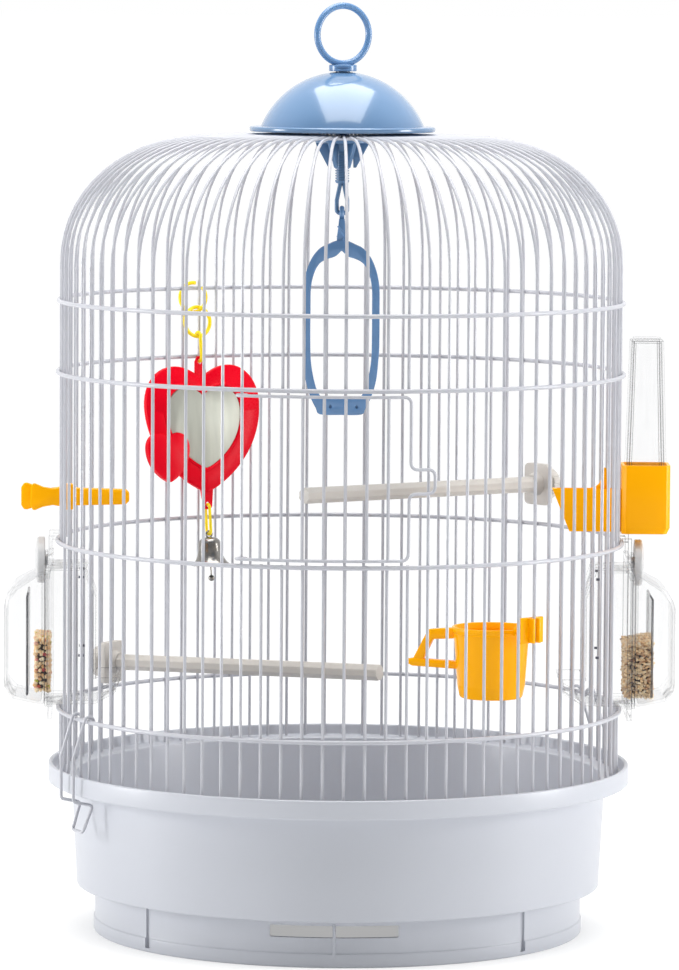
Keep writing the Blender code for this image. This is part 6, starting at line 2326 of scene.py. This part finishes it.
@dataclass
class Studio:
    """Pale floor, soft lamps, white surroundings and the camera of the photograph's view."""

    focal_px: float = 5568.0
    frame_px: float = 970.0
    place: tuple[float, float, float] = (-0.00035, -3.119, 0.5178)
    pitch: float = math.radians(4.89)
    roll: float = 0.0066
    level: float = 0.32
    rise: float = 0.42
    floor_radius: float = 400.0
    floor_light: float = 1.13

    def seen(self, graph: Graph, back: Any = 1.0) -> Link:
        """Returns 1 where a camera or transmission ray looks, or a glossy one.

        Args:
            graph: The tree.
            back: Share for a glossy ray.

        Returns:
            The factor.
        """
        path = graph.node("ShaderNodeLightPath", out="Is Camera Ray")
        outputs = path.socket.node.outputs
        glossy = Link(graph, outputs["Is Glossy Ray"]) * back
        through = Link(graph, outputs["Is Transmission Ray"])
        first = graph.node("ShaderNodeMath", {"operation": "MAXIMUM"}, {0: path, 1: glossy})
        return graph.node("ShaderNodeMath", {"operation": "MAXIMUM"}, {0: first, 1: through})

    def world(self) -> None:
        """Sets the surroundings: white to the eye, softer as light, dimmer on the camera's side."""
        world = bpy.data.worlds.new("studio_world")
        bpy.context.scene.world = world
        graph = Graph(world)
        heading = graph.node("ShaderNodeTexCoord", out="Generated")
        parts = graph.node("ShaderNodeSeparateXYZ", None, {0: heading}, "Y")
        span = {0: parts, 1: -0.7, 2: 0.35, 3: 0.0, 4: 1.0}
        back = graph.node("ShaderNodeMapRange", {"interpolation_type": "SMOOTHSTEP"}, span)
        light = self.level + back * self.rise
        lit = graph.node("ShaderNodeBackground", None, {"Color": (0.97, 0.985, 1.0), "Strength": light})
        white = graph.node("ShaderNodeBackground", None, {"Color": WHITE, "Strength": 1.0})
        shader = graph.node("ShaderNodeMixShader", None, {0: self.seen(graph, back), 1: lit, 2: white})
        graph.node("ShaderNodeOutputWorld", None, {"Surface": shader})

    def floor(self) -> None:
        """Lays the pale floor; its white glow is weaker under and just round the tray, painted shade that
        lets the tray's real shadow show.
        """
        shape = bmesh.new()
        bmesh.ops.create_circle(shape, cap_ends=True, segments=96, radius=self.floor_radius)
        mesh = bpy.data.meshes.new("studio_floor")
        shape.to_mesh(mesh)
        shape.free()
        material = bpy.data.materials.new("studio_floor_paper")
        graph = Graph(material)
        grain = graph.noise(300.0, 2.0)
        tone = graph.mix(grain, (0.86, 0.865, 0.87), (0.90, 0.905, 0.91))
        sockets = {"Base Color": tone, "Roughness": 0.8, "Specular IOR Level": 0.2}
        paper = graph.node("ShaderNodeBsdfPrincipled", None, sockets)
        white = graph.node("ShaderNodeEmission", None, {"Color": WHITE, "Strength": self.floor_light})
        # Less white glow within 0.12 to 0.17 m of the centre: painted shade under the tray, over its real
        # shadow.
        away = graph.node("ShaderNodeVectorMath", {"operation": "LENGTH"}, {0: graph.place()}, "Value")
        span = {0: away, 1: 0.120, 2: 0.170, 3: 0.36, 4: 0.80}
        share = graph.node("ShaderNodeMapRange", {"interpolation_type": "SMOOTHSTEP"}, span)
        factor = self.seen(graph) * share
        graph.surface(graph.node("ShaderNodeMixShader", None, {0: factor, 1: paper, 2: white}))
        mesh.materials.append(material)
        floor = bpy.data.objects.new("studio_floor", mesh)
        bpy.context.collection.objects.link(floor)

    def lamp(
        self,
        name: str,
        place: Sequence[float],
        aim: Sequence[float],
        size: tuple[float, float],
        power: float,
    ) -> None:
        """Hangs one soft lamp.

        Args:
            name: Its name.
            place: Where it hangs.
            aim: The point it faces.
            size: Its width and height.
            power: Its power in watts.
        """
        data = bpy.data.lights.new(name, "AREA")
        data.shape = "RECTANGLE"
        data.size, data.size_y = size
        data.energy = power
        lamp = bpy.data.objects.new(name, data)
        lamp.location = place
        lamp.rotation_euler = (Vector(aim) - Vector(place)).to_track_quat("-Z", "Y").to_euler()
        bpy.context.collection.objects.link(lamp)

    def camera(self) -> None:
        """Sets the camera."""
        data = bpy.data.cameras.new("photo_view")
        data.sensor_fit = "VERTICAL"
        data.sensor_height = 36.0
        data.lens = self.focal_px * data.sensor_height / self.frame_px
        data.clip_end = 1000.0
        camera = bpy.data.objects.new("photo_view", data)
        turn = Matrix.Rotation(math.pi / 2 - self.pitch, 4, "X") @ Matrix.Rotation(self.roll, 4, "Z")
        camera.matrix_world = Matrix.Translation(self.place) @ turn
        bpy.context.collection.objects.link(camera)
        bpy.context.scene.camera = camera

    def build(self) -> None:
        """Builds the studio."""
        self.world()
        self.floor()
        place, aim = (0.04, -0.10, 1.77), (0.04, -0.10, 0.0)
        self.lamp("overhead_box", place, aim, size=(1.18, 1.80), power=34.0)
        for side, across in ((Side.LEFT, -1.45), (Side.RIGHT, 1.45)):
            place, aim = (across, -0.14, 0.34), (0.0, 0.0, 0.20)
            self.lamp(side.value + "_box", place, aim, size=(0.42, 0.66), power=10.5)
        self.camera()
        bpy.context.scene.view_settings.view_transform = "Standard"


def main() -> None:
    """Loads the frame and builds the studio and every sub-assembly."""
    logging.basicConfig(level=logging.INFO, format="%(message)s")
    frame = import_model()
    bodies = frame["record"]["behaviour"]["bodies"]
    node_body = {node: body for body, members in bodies.items() for node in members}
    shop = Workshop(frame["nodes"], node_body)
    Studio().build()
    Tray().build(shop)
    WireCage().build(shop)
    Door().build(shop)
    BaseClips().build(shop)
    Cap().build(shop)
    Handle().build(shop)
    Swing().build(shop)
    Perch(Level.UPPER, share=31.5, height=0.2437, tilt=math.radians(0.8)).build(shop)
    Perch(Level.LOWER, share=-29.5, height=0.1408, tilt=math.radians(1.8)).build(shop)
    HangingToy().build(shop)
    PegClip().build(shop)
    left_heap = (0.1624, -0.0226, 0.1361), (0.1712, 0.0226, 0.1667)
    right_heap = (0.1611, -0.0226, 0.1340), (0.1752, 0.0226, 0.1665)
    round_husk, long_husk = (0.0029, 0.0025, 0.0023), (0.0054, 0.0020, 0.0016)
    Feeder(Side.LEFT, -FEEDER_SHARE, ROUND_SEED, round_husk, *left_heap, slope=0.0006).build(shop)
    Feeder(Side.RIGHT, FEEDER_SHARE, LONG_SEED, long_husk, *right_heap, slope=0.0030).build(shop)
    Drinker().build(shop)
    TreatCup().build(shop)


if __name__ == "__main__":
    main()
